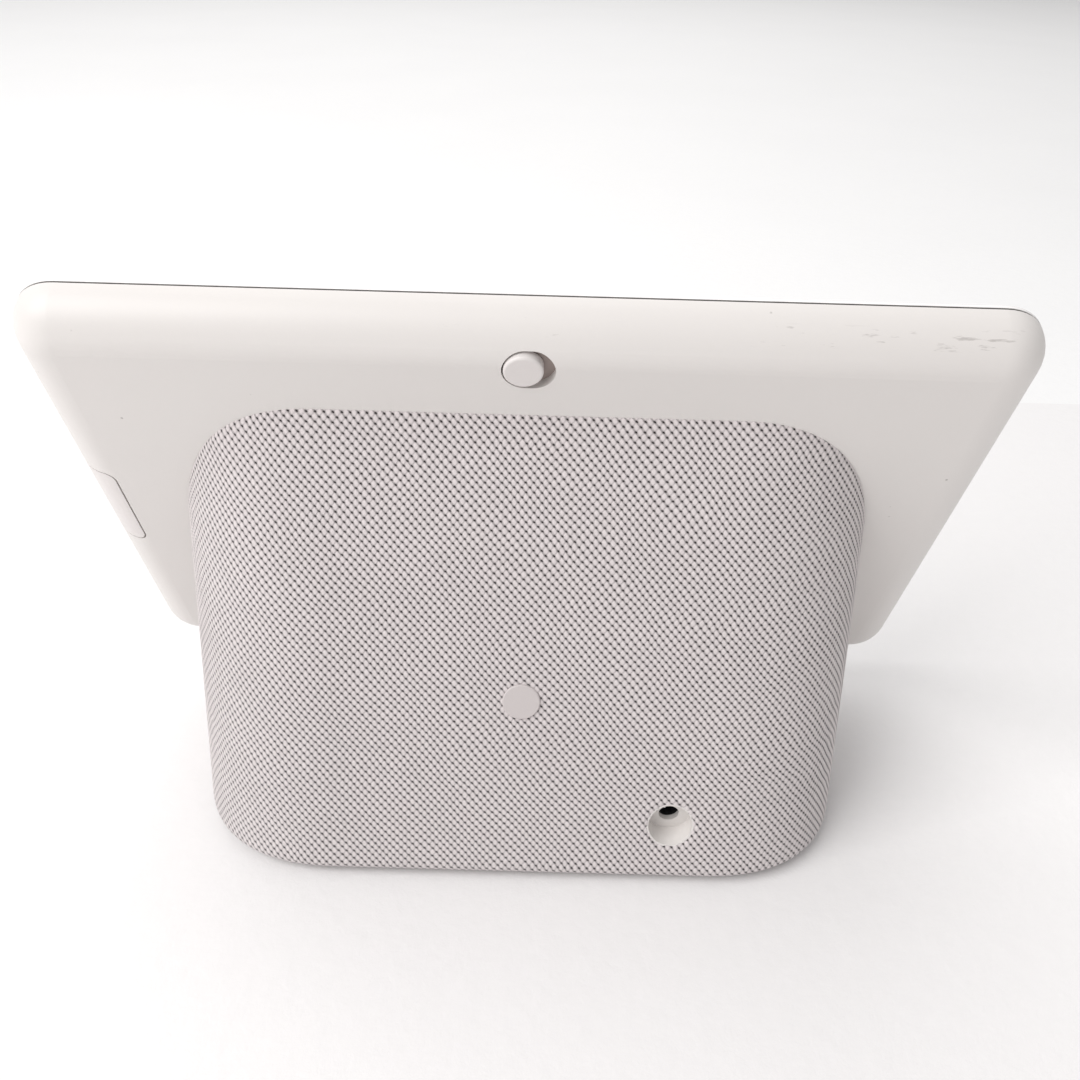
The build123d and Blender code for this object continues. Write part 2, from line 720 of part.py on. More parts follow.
def fabric_sleeve():
    """Knitted sleeve round the base, turned under at the bottom edge."""
    with BuildPart() as sleeve:
        add(base_block(0.0, FOOT_T, BOTTOM_R))
        inner = base_block(FABRIC_T, SHELL_LOW, BOTTOM_R - FABRIC_T)
        add(inner, mode=Mode.SUBTRACT)
        opening = base_block(PLATE_INSET, 0.0, reach=8.0)
        add(opening, mode=Mode.SUBTRACT)
        split(bisect_by=behind(HEAD_T), keep=Keep.BOTTOM)
        with BuildSketch(PORT.offset(8)):
            Circle(PORT_D / 2)
        extrude(amount=-20, mode=Mode.SUBTRACT)
        with BuildSketch(rear_face(BADGE_Z)):
            Circle(BADGE_D / 2)
        extrude(amount=-FABRIC_T - 0.6, mode=Mode.SUBTRACT)
    finish("fabric_sleeve", sleeve.part)


def base_shell():
    """Moulded housing under the fabric: grille, port hole, ears and bosses."""
    ear_x, ear_y = STAND_SCREW
    boss_x, boss_y = BASE_SCREW
    with BuildPart() as ears:
        with BuildSketch(behind(BRACKET_BACK)):
            for side in (-1, 1):
                with Locations((side * 60, STAND_Y - ear_y), (side * 60, STAND_Y + ear_y)):
                    Rectangle(19, 9)
        extrude(amount=-EAR_T)
        with BuildSketch(Plane.XY.offset(SHELL_LOW + PLATE_T - FABRIC_T)):
            with Locations((0, BASE_SCREW_Y)):
                with GridLocations(2 * boss_x, 2 * boss_y, 2, 2):
                    Circle(3.2)
                with GridLocations(2 * boss_x + 24, 2 * boss_y, 2, 2):
                    Rectangle(24, 1.8)
        extrude(amount=9.0)
        add(base_block(FABRIC_T + 0.4, SHELL_LOW), mode=Mode.INTERSECT)
    with BuildPart() as shell:
        add(base_block(FABRIC_T, SHELL_LOW, BOTTOM_R - FABRIC_T))
        add(base_block(SHELL_INSET, SHELL_LOW + SHELL_T), mode=Mode.SUBTRACT)
        add(base_block(PLATE_INSET, 0.0, reach=8.0), mode=Mode.SUBTRACT)
        add(ears.part)
        split(bisect_by=behind(HEAD_T), keep=Keep.BOTTOM)
        with BuildSketch(rear_face(BADGE_Z)):
            Circle(0.8)
            for radius, count in GRILLE_RINGS:
                with PolarLocations(radius, count):
                    Circle(1.2)
        extrude(amount=-6.0, mode=Mode.SUBTRACT)
        with BuildSketch(PORT.offset(8)):
            Circle(PORT_D / 2)
        extrude(amount=-24, mode=Mode.SUBTRACT)
        with BuildSketch(behind(EAR_BACK + 1)):
            with Locations((0, STAND_Y)):
                with GridLocations(2 * ear_x, 2 * ear_y, 2, 2):
                    Circle(1.4)
        extrude(amount=4.0, mode=Mode.SUBTRACT)
        with BuildSketch(Plane.XY.offset(SHELL_LOW)):
            with Locations((0, BASE_SCREW_Y)):
                with GridLocations(2 * boss_x, 2 * boss_y, 2, 2):
                    Circle(1.1)
        extrude(amount=8.5, mode=Mode.SUBTRACT)
    finish("base_shell", shell.part)


def base_badge():
    """Plain round badge on the fabric, with its locating pin."""
    with BuildPart() as badge:
        with BuildSketch(rear_face(BADGE_Z, FABRIC_T)):
            Circle(BADGE_D / 2)
        extrude(amount=FABRIC_T + 0.4)
        fillet(badge.faces().sort_by(Axis(HEAD.origin, OUTWARD))[-1].edges(), 0.3)
        with BuildSketch(rear_face(BADGE_Z, FABRIC_T)):
            Circle(0.8)
        extrude(amount=-SHELL_T)
    finish("base_badge", badge.part)


def base_plate():
    """Bottom plate with its screws and the soft foot under it."""
    boss_x, boss_y = BASE_SCREW
    with BuildPart() as plate:
        add(base_block(PLATE_INSET + PLATE_GAP, FOOT_T, reach=PLATE_T / COS_L))
        with BuildSketch(Plane.XY.offset(FOOT_T)):
            with Locations((0, BASE_SCREW_Y)):
                with GridLocations(2 * boss_x, 2 * boss_y, 2, 2):
                    Circle(2.4)
        extrude(amount=1.2, mode=Mode.SUBTRACT)
        with BuildSketch(Plane.XY.offset(FOOT_T)):
            with Locations((0, BASE_SCREW_Y)):
                with GridLocations(2 * boss_x, 2 * boss_y, 2, 2):
                    Circle(1.3)
        extrude(amount=PLATE_T, mode=Mode.SUBTRACT)
    finish("base_plate", plate.part)
    with BuildPart() as screws:
        with BuildSketch(Plane.XY.offset(FOOT_T + 0.1)):
            with Locations((0, BASE_SCREW_Y)):
                with GridLocations(2 * boss_x, 2 * boss_y, 2, 2):
                    Circle(2.2)
        extrude(amount=1.1)
        with BuildSketch(Plane.XY.offset(FOOT_T + 1.2)):
            with Locations((0, BASE_SCREW_Y)):
                with GridLocations(2 * boss_x, 2 * boss_y, 2, 2):
                    Circle(1.1)
        extrude(amount=8.0)
        with BuildSketch(Plane.XY.offset(FOOT_T + 0.1)):
            with Locations((0, BASE_SCREW_Y)):
                with GridLocations(2 * boss_x, 2 * boss_y, 2, 2):
                    Rectangle(2.8, 0.6)
                    Rectangle(0.6, 2.8)
        extrude(amount=0.7, mode=Mode.SUBTRACT)
    finish("base_screws", screws.part)
    with BuildPart() as foot:
        add(base_block(FOOT_INSET, 0.0, reach=FOOT_T / COS_L))
        chamfer(foot.faces().sort_by(Axis.Z)[0].edges(), 0.4)
    finish("foot_pad", foot.part)


# ------------------------------------------------------------ loudspeaker
FLANGE = 52.0
FLANGE_R = 7.5
FLANGE_T = 1.4
GASKET_T = 2.0
FLANGE_D = SHELL_INSET + GASKET_T  # depth of the flange's front face
BOX_FRONT = FLANGE_D + FLANGE_T
BOX_WALL = 1.6
BOX_CLEAR = 0.8  # between the loudspeaker box and what surrounds it
BOX_LOW = 5.2
LEAD_D = 1.2
LEAD_DEPTH = 12.0  # where the leads leave the basket, behind the fabric
CORNER_SCREW = 21.0
BASKET_R = 23.5
RECESS_R = 23.6
HOLE_R = 21.5
CAP_BALL = 18.0
CAP_CENTRE = 26.8  # depth of the dust cap's centre of curvature


def driver(depth):
    """Plane across the loudspeaker's axis, that far behind the fabric."""
    return rear_face(DRIVER_Z, depth)


DRIVER_SIDE = Plane(origin=driver(0).origin, x_dir=(-1, 0, 0), z_dir=driver(0).y_dir)
DRIVER_AXIS = Axis(driver(0).origin, OUTWARD)
LEAD_START = driver(LEAD_DEPTH).origin + Vector(20.9, 0, 0)


def turned(points):
    """Solid of revolution about the driver's axis from (radius, depth) points."""
    with BuildPart() as solid:
        with BuildSketch(DRIVER_SIDE):
            with BuildLine():
                Polyline(*[(radius, depth) for radius, depth in points], close=True)
            make_face()
        revolve(axis=DRIVER_AXIS)
    return solid.part


def speaker_frame():
    """Square flange and windowed basket, with the gasket in front of it."""
    with BuildPart() as gasket:
        with BuildSketch(driver(SHELL_INSET)):
            RectangleRounded(FLANGE, FLANGE, FLANGE_R)
            Circle(RECESS_R, mode=Mode.SUBTRACT)
            with GridLocations(2 * CORNER_SCREW, 2 * CORNER_SCREW, 2, 2):
                Circle(2.6, mode=Mode.SUBTRACT)
        extrude(amount=-GASKET_T)
    finish("speaker_gasket", gasket.part)
    wall = ((HOLE_R, 6.8), (BASKET_R, 6.8), (15.5, 18.2), (15.5, 19.4))
    inside = ((9.0, 19.4), (9.0, 18.2), (13.5, 18.2), (13.5, 16.4), (14.6, 16.4))
    with BuildPart() as frame:
        add(turned(wall + inside))
        with BuildSketch(driver(9.0)):
            with PolarLocations(18.5, 4, start_angle=45):
                RectangleRounded(9.0, 12.0, 1.5)
        extrude(amount=-6.6, mode=Mode.SUBTRACT)
        with BuildSketch(driver(FLANGE_D)):
            RectangleRounded(FLANGE, FLANGE, FLANGE_R)
            Circle(HOLE_R, mode=Mode.SUBTRACT)
            with GridLocations(2 * CORNER_SCREW, 2 * CORNER_SCREW, 2, 2):
                Circle(1.2, mode=Mode.SUBTRACT)
        extrude(amount=-FLANGE_T)
        with BuildSketch(driver(FLANGE_D)):
            Circle(RECESS_R)
            Circle(HOLE_R, mode=Mode.SUBTRACT)
        extrude(amount=-0.6, mode=Mode.SUBTRACT)
    finish("speaker_frame", frame.part)
    with BuildPart() as screws:
        with BuildSketch(driver(FLANGE_D)):
            with GridLocations(2 * CORNER_SCREW, 2 * CORNER_SCREW, 2, 2):
                Circle(2.2)
        extrude(amount=1.2)
        with BuildSketch(driver(FLANGE_D)):
            with GridLocations(2 * CORNER_SCREW, 2 * CORNER_SCREW, 2, 2):
                Circle(1.1)
        extrude(amount=-6.0)
    finish("speaker_screws", screws.part)


def on_cap(radius, ball):
    """Profile point of the dust cap's sphere of radius ball, at that radius."""
    return (radius, CAP_CENTRE - math.sqrt(ball**2 - radius**2))


def speaker_moving():
    """Cone, dust cap and voice coil, which travel along the driver's axis."""
    inner_ball = CAP_BALL - 0.4
    cone = ((18.6, 6.2), (18.6, 6.6), (17.6, 6.7), (6.9, 14.2), (6.4, 14.2), (6.4, 13.6))
    with BuildPart() as paper:
        add(turned(cone + ((17.3, 6.2),)))
    finish("speaker_cone", paper.part)
    with BuildPart() as cap:
        with BuildSketch(DRIVER_SIDE):
            with BuildLine():
                Line(on_cap(0, inner_ball), on_cap(0, CAP_BALL))
                ThreePointArc(*[on_cap(r, CAP_BALL) for r in (0, 5.0, 9.4)])
                Line(on_cap(9.4, CAP_BALL), on_cap(9.0, inner_ball))
                ThreePointArc(*[on_cap(r, inner_ball) for r in (9.0, 4.8, 0)])
            make_face()
        revolve(axis=DRIVER_AXIS)
    finish("dust_cap", cap.part)
    with BuildPart() as coil:
        add(turned(((6.0, 13.4), (6.35, 13.4), (6.35, 21.4), (6.0, 21.4))))
    finish("voice_coil", coil.part)


def speaker_soft():
    """Rubber surround and flat spider that hold the cone in the basket."""
    with BuildPart() as surround:
        with BuildSketch(DRIVER_SIDE):
            with BuildLine():
                Polyline((23.4, 6.0), (23.4, 5.6), (21.9, 5.6))
                ThreePointArc((21.9, 5.6), (20.1, 4.3), (18.3, 5.8))
                Polyline((18.3, 5.8), (17.4, 5.8), (17.4, 6.2), (18.7, 6.2))
                ThreePointArc((18.7, 6.2), (20.1, 4.75), (21.5, 6.0))
                Line((21.5, 6.0), (23.4, 6.0))
            make_face()
        revolve(axis=DRIVER_AXIS)
    finish("speaker_surround", surround.part)
    with BuildPart() as spider:
        add(turned(((6.9, 16.0), (14.6, 16.0), (14.6, 16.4), (6.9, 16.4))))
    finish("speaker_spider", spider.part)


def speaker_motor():
    """Top plate, ring magnet and yoke with its pole."""
    with BuildPart() as top_plate:
        add(turned(((7.0, 19.4), (13.0, 19.4), (13.0, 20.9), (7.0, 20.9))))
    finish("speaker_top_plate", top_plate.part)
    with BuildPart() as magnet:
        add(turned(((8.6, 20.9), (13.0, 20.9), (13.0, 24.4), (8.6, 24.4))))
    finish("speaker_magnet", magnet.part)
    pole = ((0, 19.6), (5.4, 19.6), (5.4, 24.4), (12.5, 24.4), (12.5, 26.0), (0, 26.0))
    with BuildPart() as yoke:
        add(turned(pole))
    finish("speaker_yoke", yoke.part)


def speaker_box():
    """Closed box behind the driver, cut to clear the tilted bracket."""
    stop = BRACKET_BACK + BOX_CLEAR
    with BuildPart() as hollow:
        with BuildSketch(driver(BOX_FRONT)):
            inner = FLANGE - 2 * BOX_WALL
            RectangleRounded(inner, inner, FLANGE_R - BOX_WALL)
        extrude(amount=-60)
        split(bisect_by=behind(stop + BOX_WALL), keep=Keep.BOTTOM)
        inside = base_block(SHELL_INSET + BOX_CLEAR + BOX_WALL, BOX_LOW + BOX_WALL)
        add(inside, mode=Mode.INTERSECT)
        with BuildSketch(driver(BOX_FRONT)):
            with GridLocations(2 * CORNER_SCREW, 2 * CORNER_SCREW, 2, 2):
                Circle(2.8)
        extrude(amount=-8.0, mode=Mode.SUBTRACT)
    with BuildPart() as box:
        with BuildSketch(driver(BOX_FRONT)):
            RectangleRounded(FLANGE, FLANGE, FLANGE_R)
        extrude(amount=-60)
        split(bisect_by=behind(stop), keep=Keep.BOTTOM)
        add(base_block(SHELL_INSET + BOX_CLEAR, BOX_LOW), mode=Mode.INTERSECT)
        add(hollow.part, mode=Mode.SUBTRACT)
        with BuildSketch(Plane.YZ.offset(FLANGE / 2 + 1)):
            with Locations((LEAD_START.Y, LEAD_START.Z)):
                Circle(LEAD_D / 2 + 0.1)
        extrude(amount=-BOX_WALL - 2, mode=Mode.SUBTRACT)
        with BuildSketch(driver(BOX_FRONT)):
            with GridLocations(2 * CORNER_SCREW, 2 * CORNER_SCREW, 2, 2):
                Circle(1.1)
        extrude(amount=-5.0, mode=Mode.SUBTRACT)
    finish("speaker_enclosure", box.part)


# ------------------------------------------------------------ power inlet
COLLAR_WALL = 0.4
COLLAR_FLOOR = 1.2
COLLAR_SUNK = 0.3  # rim below the fabric
JACK_FRONT = JACK_RECESS
JACK_BODY = (9.0, 10.6, 13.0)  # width, height, length
JACK_BORE_R = 1.9
JACK_BORE_L = 9.5
JACK_PIN_R = 0.55
POWER_BOARD_T = 1.6
POWER_LEAD_Z = PORT_Z - JACK_BODY[1] / 2 - POWER_BOARD_T / 2


def port_collar():
    """Light ring that lines the hole in the fabric and holds the jack."""
    with BuildPart() as collar:
        with BuildSketch(PORT.offset(6)):
            Circle(PORT_D / 2)
        extrude(amount=-6 - JACK_FRONT)
        with BuildSketch(PORT.offset(6)):
            Circle(PORT_D / 2 - COLLAR_WALL)
        extrude(amount=-6 - JACK_FRONT, mode=Mode.SUBTRACT)
        with BuildSketch(PORT.offset(-JACK_FRONT + COLLAR_FLOOR)):
            Circle(PORT_D / 2)
            Circle(JACK_BORE_R + 0.2, mode=Mode.SUBTRACT)
        extrude(amount=-COLLAR_FLOOR)
        split(bisect_by=rear_face(PORT_Z, COLLAR_SUNK), keep=Keep.BOTTOM)
    finish("port_collar", collar.part)


def dc_jack():
    """Round power socket with its centre pin, on a small board."""
    width, height, length = JACK_BODY
    with BuildPart() as jack:
        with BuildSketch(PORT.offset(-JACK_FRONT)):
            Rectangle(width, height)
        extrude(amount=-length)
        with BuildSketch(PORT.offset(-JACK_FRONT)):
            Circle(JACK_BORE_R)
        extrude(amount=-JACK_BORE_L, mode=Mode.SUBTRACT)
    finish("dc_jack", jack.part)
    with BuildPart() as pin:
        with BuildSketch(PORT.offset(-JACK_FRONT - JACK_BORE_L)):
            Circle(JACK_PIN_R)
        extrude(amount=JACK_BORE_L - 1.0)
    finish("jack_pin", pin.part)
    with BuildPart() as board:
        with BuildSketch(PORT.offset(-JACK_FRONT - 1)):
            with Locations((-1.0, -height / 2 - POWER_BOARD_T / 2)):
                Rectangle(width + 4, POWER_BOARD_T)
        extrude(amount=-length - 4)
    finish("power_board", board.part)


# ------------------------------------------------------------ internal leads
LEAD_T = 6.55  # depth of the leads inside the head
SOCKET_LOW = -17.0


def in_head(x, y, depth):
    """Point given in the head's plane: across, up the slope, behind the glass."""
    return HEAD.from_local_coords(Vector(x, y, -depth))


def lead(name, points):
    """Round lead along straight runs joined by the largest arcs that fit."""
    radii = []
    for before, corner, after in zip(points, points[1:], points[2:]):
        first, second = corner - before, after - corner
        turn = math.radians(first.get_angle(second))
        radii.append(0.45 * min(first.length, second.length) / math.tan(turn / 2))
    print(name, "bend radii", [round(radius, 1) for radius in radii])
    with BuildPart() as cable:
        with BuildLine():
            path = FilletPolyline(*points, radius=radii)
        with BuildSketch(Plane(origin=path @ 0, z_dir=path % 0)):
            Circle(LEAD_D / 2)
        sweep(path=path)
    share = cable.part.volume / (math.pi * LEAD_D**2 / 4 * path.length)
    print(name, "volume over section times length", round(share, 4))
    finish(name, cable.part)


def leads():
    """Loudspeaker and power leads, from the base through the cable window."""
    window_y = WINDOW[1]
    turn_x = 31.0
    lead(
        "speaker_cable",
        [
            LEAD_START,
            Vector(turn_x, LEAD_START.Y, LEAD_START.Z),
            in_head(turn_x, window_y, 20.0),
            in_head(turn_x, window_y, LEAD_T),
            in_head(turn_x, SOCKET_LOW, LEAD_T),
        ],
    )
    rise_x = 33.6
    board_front = BACK_AT_PORT - JACK_FRONT - JACK_BODY[2] - 5.0
    lead(
        "power_cable",
        [
            Vector(-29, board_front - 0.1, POWER_LEAD_Z),
            Vector(-29, board_front - 10.5, 7.3),
            Vector(-10, board_front - 11.4, 7.0),
            Vector(12, board_front - 10.8, 6.9),
            Vector(rise_x, board_front - 11.2, 7.2),
            Vector(rise_x, board_front - 12.5, 21.0),
            in_head(rise_x, window_y, 20.0),
            in_head(rise_x, window_y, LEAD_T),
            in_head(rise_x, SOCKET_LOW, LEAD_T),
        ],
    )


# ------------------------------------------------------------ build everything
front_glass()
display_gasket()
lcd_panel()
backlight()
midframe()
rear_cover()
volume_key()
volume_board()
top_board()
mute_switch()
mute_knob()
main_board()
processor()
antennas()
display_cable()
stand_bracket()
fabric_sleeve()
base_shell()
base_badge()
base_plate()
speaker_frame()
speaker_moving()
speaker_soft()
speaker_motor()
speaker_box()
port_collar()
dc_jack()
leads()
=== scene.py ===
"""Looks of a smart display: a tilted touch screen on a fabric-covered loudspeaker base."""

import logging
import math
import random
from abc import ABC, abstractmethod
from dataclasses import dataclass
from enum import Enum
from typing import Any, Mapping

import bmesh
import bpy
import numpy as np
from mathutils import Matrix, Vector


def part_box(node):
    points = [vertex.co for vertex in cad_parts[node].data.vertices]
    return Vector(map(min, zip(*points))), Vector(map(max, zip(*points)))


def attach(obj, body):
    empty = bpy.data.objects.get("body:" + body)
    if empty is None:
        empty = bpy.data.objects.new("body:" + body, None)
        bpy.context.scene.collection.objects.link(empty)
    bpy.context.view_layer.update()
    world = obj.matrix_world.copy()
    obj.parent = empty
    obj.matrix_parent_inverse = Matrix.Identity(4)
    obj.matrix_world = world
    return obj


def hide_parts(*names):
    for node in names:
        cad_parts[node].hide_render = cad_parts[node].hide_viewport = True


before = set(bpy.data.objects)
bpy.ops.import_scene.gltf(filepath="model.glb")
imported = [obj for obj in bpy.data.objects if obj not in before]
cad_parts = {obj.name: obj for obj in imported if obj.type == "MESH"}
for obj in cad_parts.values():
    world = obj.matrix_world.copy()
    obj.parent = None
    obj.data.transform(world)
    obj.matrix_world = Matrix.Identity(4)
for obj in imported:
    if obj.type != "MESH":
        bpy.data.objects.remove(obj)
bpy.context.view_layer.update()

LOG = logging.getLogger("smart_display")
MM = 0.001
FAR = 1000.0
TINY = 1e-6
EVEN = (1.0, 1.0, 1.0)

Colour = tuple[float, float, float]
Point = tuple[float, float, float]
Span = tuple[float, float]
Grid = np.ndarray


class Body(str, Enum):
    """Bodies of the frame that pieces ride on."""

    HOUSING = "housing"


class Blend(str, Enum):
    """Ways of laying one colour over another."""

    MIX = "MIX"
    MULTIPLY = "MULTIPLY"


def srgb(red: int, green: int, blue: int) -> Colour:
    """Linear colour of an 8-bit display colour."""
    shares = (c / 255 for c in (red, green, blue))
    return tuple(c / 12.92 if c <= 0.04045 else ((c + 0.055) / 1.055) ** 2.4 for c in shares)


def rgba(colour: Colour) -> tuple[float, float, float, float]:
    """The colour with full alpha."""
    return (*colour, 1.0)


# ---- shader graphs
class Wire:
    """An output of a shader node, with arithmetic that adds Math nodes."""

    def __init__(self, graph: "Graph", socket: bpy.types.NodeSocket) -> None:
        """Keep the socket and the graph that it belongs to."""
        self.graph = graph
        self.socket = socket

    def _math(self, operation: str, *values: Any, clamp: bool = False) -> "Wire":
        """Add one Math node.

        Args:
            operation: the Math node's operation.
            values: its inputs, wires or numbers.
            clamp: whether the result is kept between 0 and 1.

        Returns:
            The node's value.
        """
        settings = {"operation": operation, "use_clamp": clamp}
        return self.graph.node("ShaderNodeMath", settings, dict(enumerate(values)))

    def __add__(self, other: Any) -> "Wire":
        """Sum."""
        return self._math("ADD", self, other)

    __radd__ = __add__

    def __sub__(self, other: Any) -> "Wire":
        """Difference."""
        return self._math("SUBTRACT", self, other)

    def __rsub__(self, other: Any) -> "Wire":
        """Reflected difference."""
        return self._math("SUBTRACT", other, self)

    def __mul__(self, other: Any) -> "Wire":
        """Product."""
        return self._math("MULTIPLY", self, other)

    __rmul__ = __mul__

    def __truediv__(self, other: Any) -> "Wire":
        """Quotient."""
        return self._math("DIVIDE", self, other)

    def __rtruediv__(self, other: Any) -> "Wire":
        """Reflected quotient."""
        return self._math("DIVIDE", other, self)

    def __pow__(self, other: Any) -> "Wire":
        """Power."""
        return self._math("POWER", self, other)

    def __abs__(self) -> "Wire":
        """Size without sign."""
        return self._math("ABSOLUTE", self)

    def largest(self, other: Any) -> "Wire":
        """The larger of two values."""
        return self._math("MAXIMUM", self, other)

    def clamped(self) -> "Wire":
        """The value kept between 0 and 1."""
        return self._math("ADD", self, 0.0, clamp=True)

    def exp(self) -> "Wire":
        """The natural exponential."""
        return self._math("EXPONENT", self)

    def cosine(self) -> "Wire":
        """Cosine of the value in radians."""
        return self._math("COSINE", self)

    def nearest(self) -> "Wire":
        """The nearest whole number."""
        return self._math("ROUND", self)

    def rise(self, low: float, high: float) -> "Wire":
        """Smooth step.

        Args:
            low: value at which the step begins.
            high: value at which it ends.

        Returns:
            0 before low, 1 after high.
        """
        settings = {"interpolation_type": "SMOOTHSTEP", "clamp": True}
        sockets = {"Value": self, "From Min": low, "From Max": high}
        return self.graph.node("ShaderNodeMapRange", settings, sockets)


class Graph:
    """One material's shader graph."""

    def __init__(self, name: str) -> None:
        """Start an empty material of that name."""
        self.material = bpy.data.materials.new(name)
        self.material.use_nodes = True
        self.tree = self.material.node_tree
        self.tree.nodes.clear()

    def node(
        self,
        kind: str,
        settings: Mapping[str, Any] | None = None,
        sockets: Mapping[Any, Any] | None = None,
        out: Any = 0,
    ) -> Wire:
        """Add a node.

        Args:
            kind: the node's type.
            settings: its properties, set first.
            sockets: its inputs by name or place, each a wire or a value.
            out: name or place of the output that is returned.

        Returns:
            The chosen output.
        """
        made = self.tree.nodes.new(kind)
        for name, value in (settings or {}).items():
            setattr(made, name, value)
        for name, value in (sockets or {}).items():
            if isinstance(value, Wire):
                self.tree.links.new(value.socket, made.inputs[name])
            else:
                made.inputs[name].default_value = value
        if not made.outputs:
            return Wire(self, made.inputs[0])
        return Wire(self, made.outputs[out])

    def place(self) -> Wire:
        """Position on the piece, in millimetres of the shared frame."""
        own = self.node("ShaderNodeTexCoord", out="Object")
        return self.vector("SCALE", own, scale=1 / MM)

    def vector(self, operation: str, first: Wire, second: Any = None, scale: float | None = None) -> Wire:
        """Vector Math.

        Args:
            operation: the node's operation.
            first: first vector.
            second: second vector, if the operation takes one.
            scale: the factor of a scaling.

        Returns:
            The vector, or the number for a dot product.
        """
        sockets: dict[Any, Any] = {0: first}
        if second is not None:
            sockets[1] = second
        if scale is not None:
            sockets["Scale"] = scale
        out = "Value" if operation == "DOT_PRODUCT" else "Vector"
        return self.node("ShaderNodeVectorMath", {"operation": operation}, sockets, out)

    def along(self, point: Wire, direction: Point, start: float = 0.0) -> Wire:
        """Distance of a point along a direction, less start."""
        return self.vector("DOT_PRODUCT", point, direction) - start

    def noise(self, point: Wire, size: float, detail: float = 2.0, rough: float = 0.5) -> Wire:
        """Noise between 0 and 1.

        Args:
            point: where it is read, in millimetres.
            size: how long one feature is, in millimetres.
            detail: octaves.
            rough: weight of the finer octaves.

        Returns:
            The noise's value.
        """
        sockets = {"Vector": point, "Scale": 1 / size, "Detail": detail, "Roughness": rough}
        return self.node("ShaderNodeTexNoise", None, sockets)

    def cells(self, point: Wire, size: float) -> Wire:
        """Distance to the nearest of scattered dots, spaced by size in millimetres."""
        sockets = {"Vector": point, "Scale": 1 / size}
        return self.node("ShaderNodeTexVoronoi", None, sockets, "Distance")

    def stretched(self, point: Wire, factors: Point) -> Wire:
        """The point with each axis multiplied by its factor."""
        return self.vector("MULTIPLY", point, factors)

    def mixed(self, factor: Any, first: Any, second: Any, blend: Blend = Blend.MIX) -> Wire:
        """Mix two colours.

        Args:
            factor: share of the second colour.
            first: wire or colour.
            second: wire or colour.
            blend: how the second is laid over the first.

        Returns:
            The mixed colour.
        """
        first, second = (c if isinstance(c, Wire) else rgba(c) for c in (first, second))
        settings = {"data_type": "RGBA", "blend_type": blend.value, "clamp_factor": True}
        return self.node("ShaderNodeMix", settings, {0: factor, 6: first, 7: second}, 2)

    def shade(self, colour: Any, value: Wire) -> Wire:
        """Colour multiplied by a grey value."""
        grey = self.node("ShaderNodeCombineXYZ", None, {0: value, 1: value, 2: value})
        return self.mixed(1.0, colour, grey, Blend.MULTIPLY)

    def bump(self, height: Wire, depth: float, under: Wire | None = None) -> Wire:
        """Normal of a relief.

        Args:
            height: relief between 0 and 1.
            depth: its depth in millimetres.
            under: normal that it is laid over.

        Returns:
            The bent normal.
        """
        sockets = {"Height": height, "Distance": depth * MM, "Strength": 1.0}
        if under is not None:
            sockets["Normal"] = under
        return self.node("ShaderNodeBump", None, sockets)

    def surface(self, **sockets: Any) -> bpy.types.Material:
        """Close the graph with a Principled surface.

        Args:
            sockets: the shader's inputs, with _ for each space in a name.

        Returns:
            The finished material.
        """
        named = {}
        for name, value in sockets.items():
            if isinstance(value, tuple) and len(value) == 3:
                value = rgba(value)
            named[name.replace("_", " ")] = value
        shader = self.node("ShaderNodeBsdfPrincipled", None, named)
        self.node("ShaderNodeOutputMaterial", None, {"Surface": shader})
        return self.material


# ---- finishes
_made: dict["Finish", bpy.types.Material] = {}


@dataclass(frozen=True)
class Finish(ABC):
    """A surface finish that makes its material once."""

    name: str

    @abstractmethod
    def build(self, graph: Graph) -> bpy.types.Material:
        """Make the material in an empty graph.

        Args:
            graph: the graph to fill.

        Returns:
            The material.
        """

    def material(self) -> bpy.types.Material:
        """The finish's material, made at its first use."""
        if self not in _made:
            _made[self] = self.build(Graph(self.name))
        return _made[self]


@dataclass(frozen=True)
class MouldedPlastic(Finish):
    """Satin moulded plastic with a fine spark-eroded grain."""

    colour: Colour = (0.8, 0.8, 0.8)
    roughness: float = 0.45
    grain: float = 0.22
    grain_depth: float = 0.006
    mottle: float = 0.03
    specks: float = 0.0
    speck_colour: Colour = srgb(120, 112, 108)

    def tint(self, graph: Graph, point: Wire) -> Wire:
        """Colour with its slow drift and tiny specks.

        Args:
            graph: graph to add to.
            point: place in millimetres.

        Returns:
            The base colour.
        """
        drift = graph.noise(point, 38.0, 3.0)
        fine = graph.noise(point, 0.9, 2.0)
        level = 1.0 + (drift - 0.5) * self.mottle + (fine - 0.5) * self.mottle * 0.5
        colour = graph.shade(self.colour, level)
        if not self.specks:
            return colour
        dust = 1.0 - graph.cells(point, 5.2).rise(0.035, 0.07)
        chosen = graph.noise(point, 9.0, 1.0).rise(0.56, 0.62)
        return graph.mixed(dust * chosen * self.specks, colour, self.speck_colour)

    def build(self, graph: Graph) -> bpy.types.Material:
        """Make the plastic.

        Args:
            graph: the graph to fill.

        Returns:
            The material.
        """
        point = graph.place()
        grain = graph.noise(point, self.grain, 2.0, 0.6)
        slow = graph.bump(graph.noise(point, 22.0, 1.0), 0.02)
        handled = graph.noise(point, 14.0, 4.0, 0.6)
        return graph.surface(
            Base_Color=self.tint(graph, point),
            Roughness=self.roughness + (handled - 0.5) * 0.08,
            Normal=graph.bump(grain, self.grain_depth, slow),
            IOR=1.49,
        )


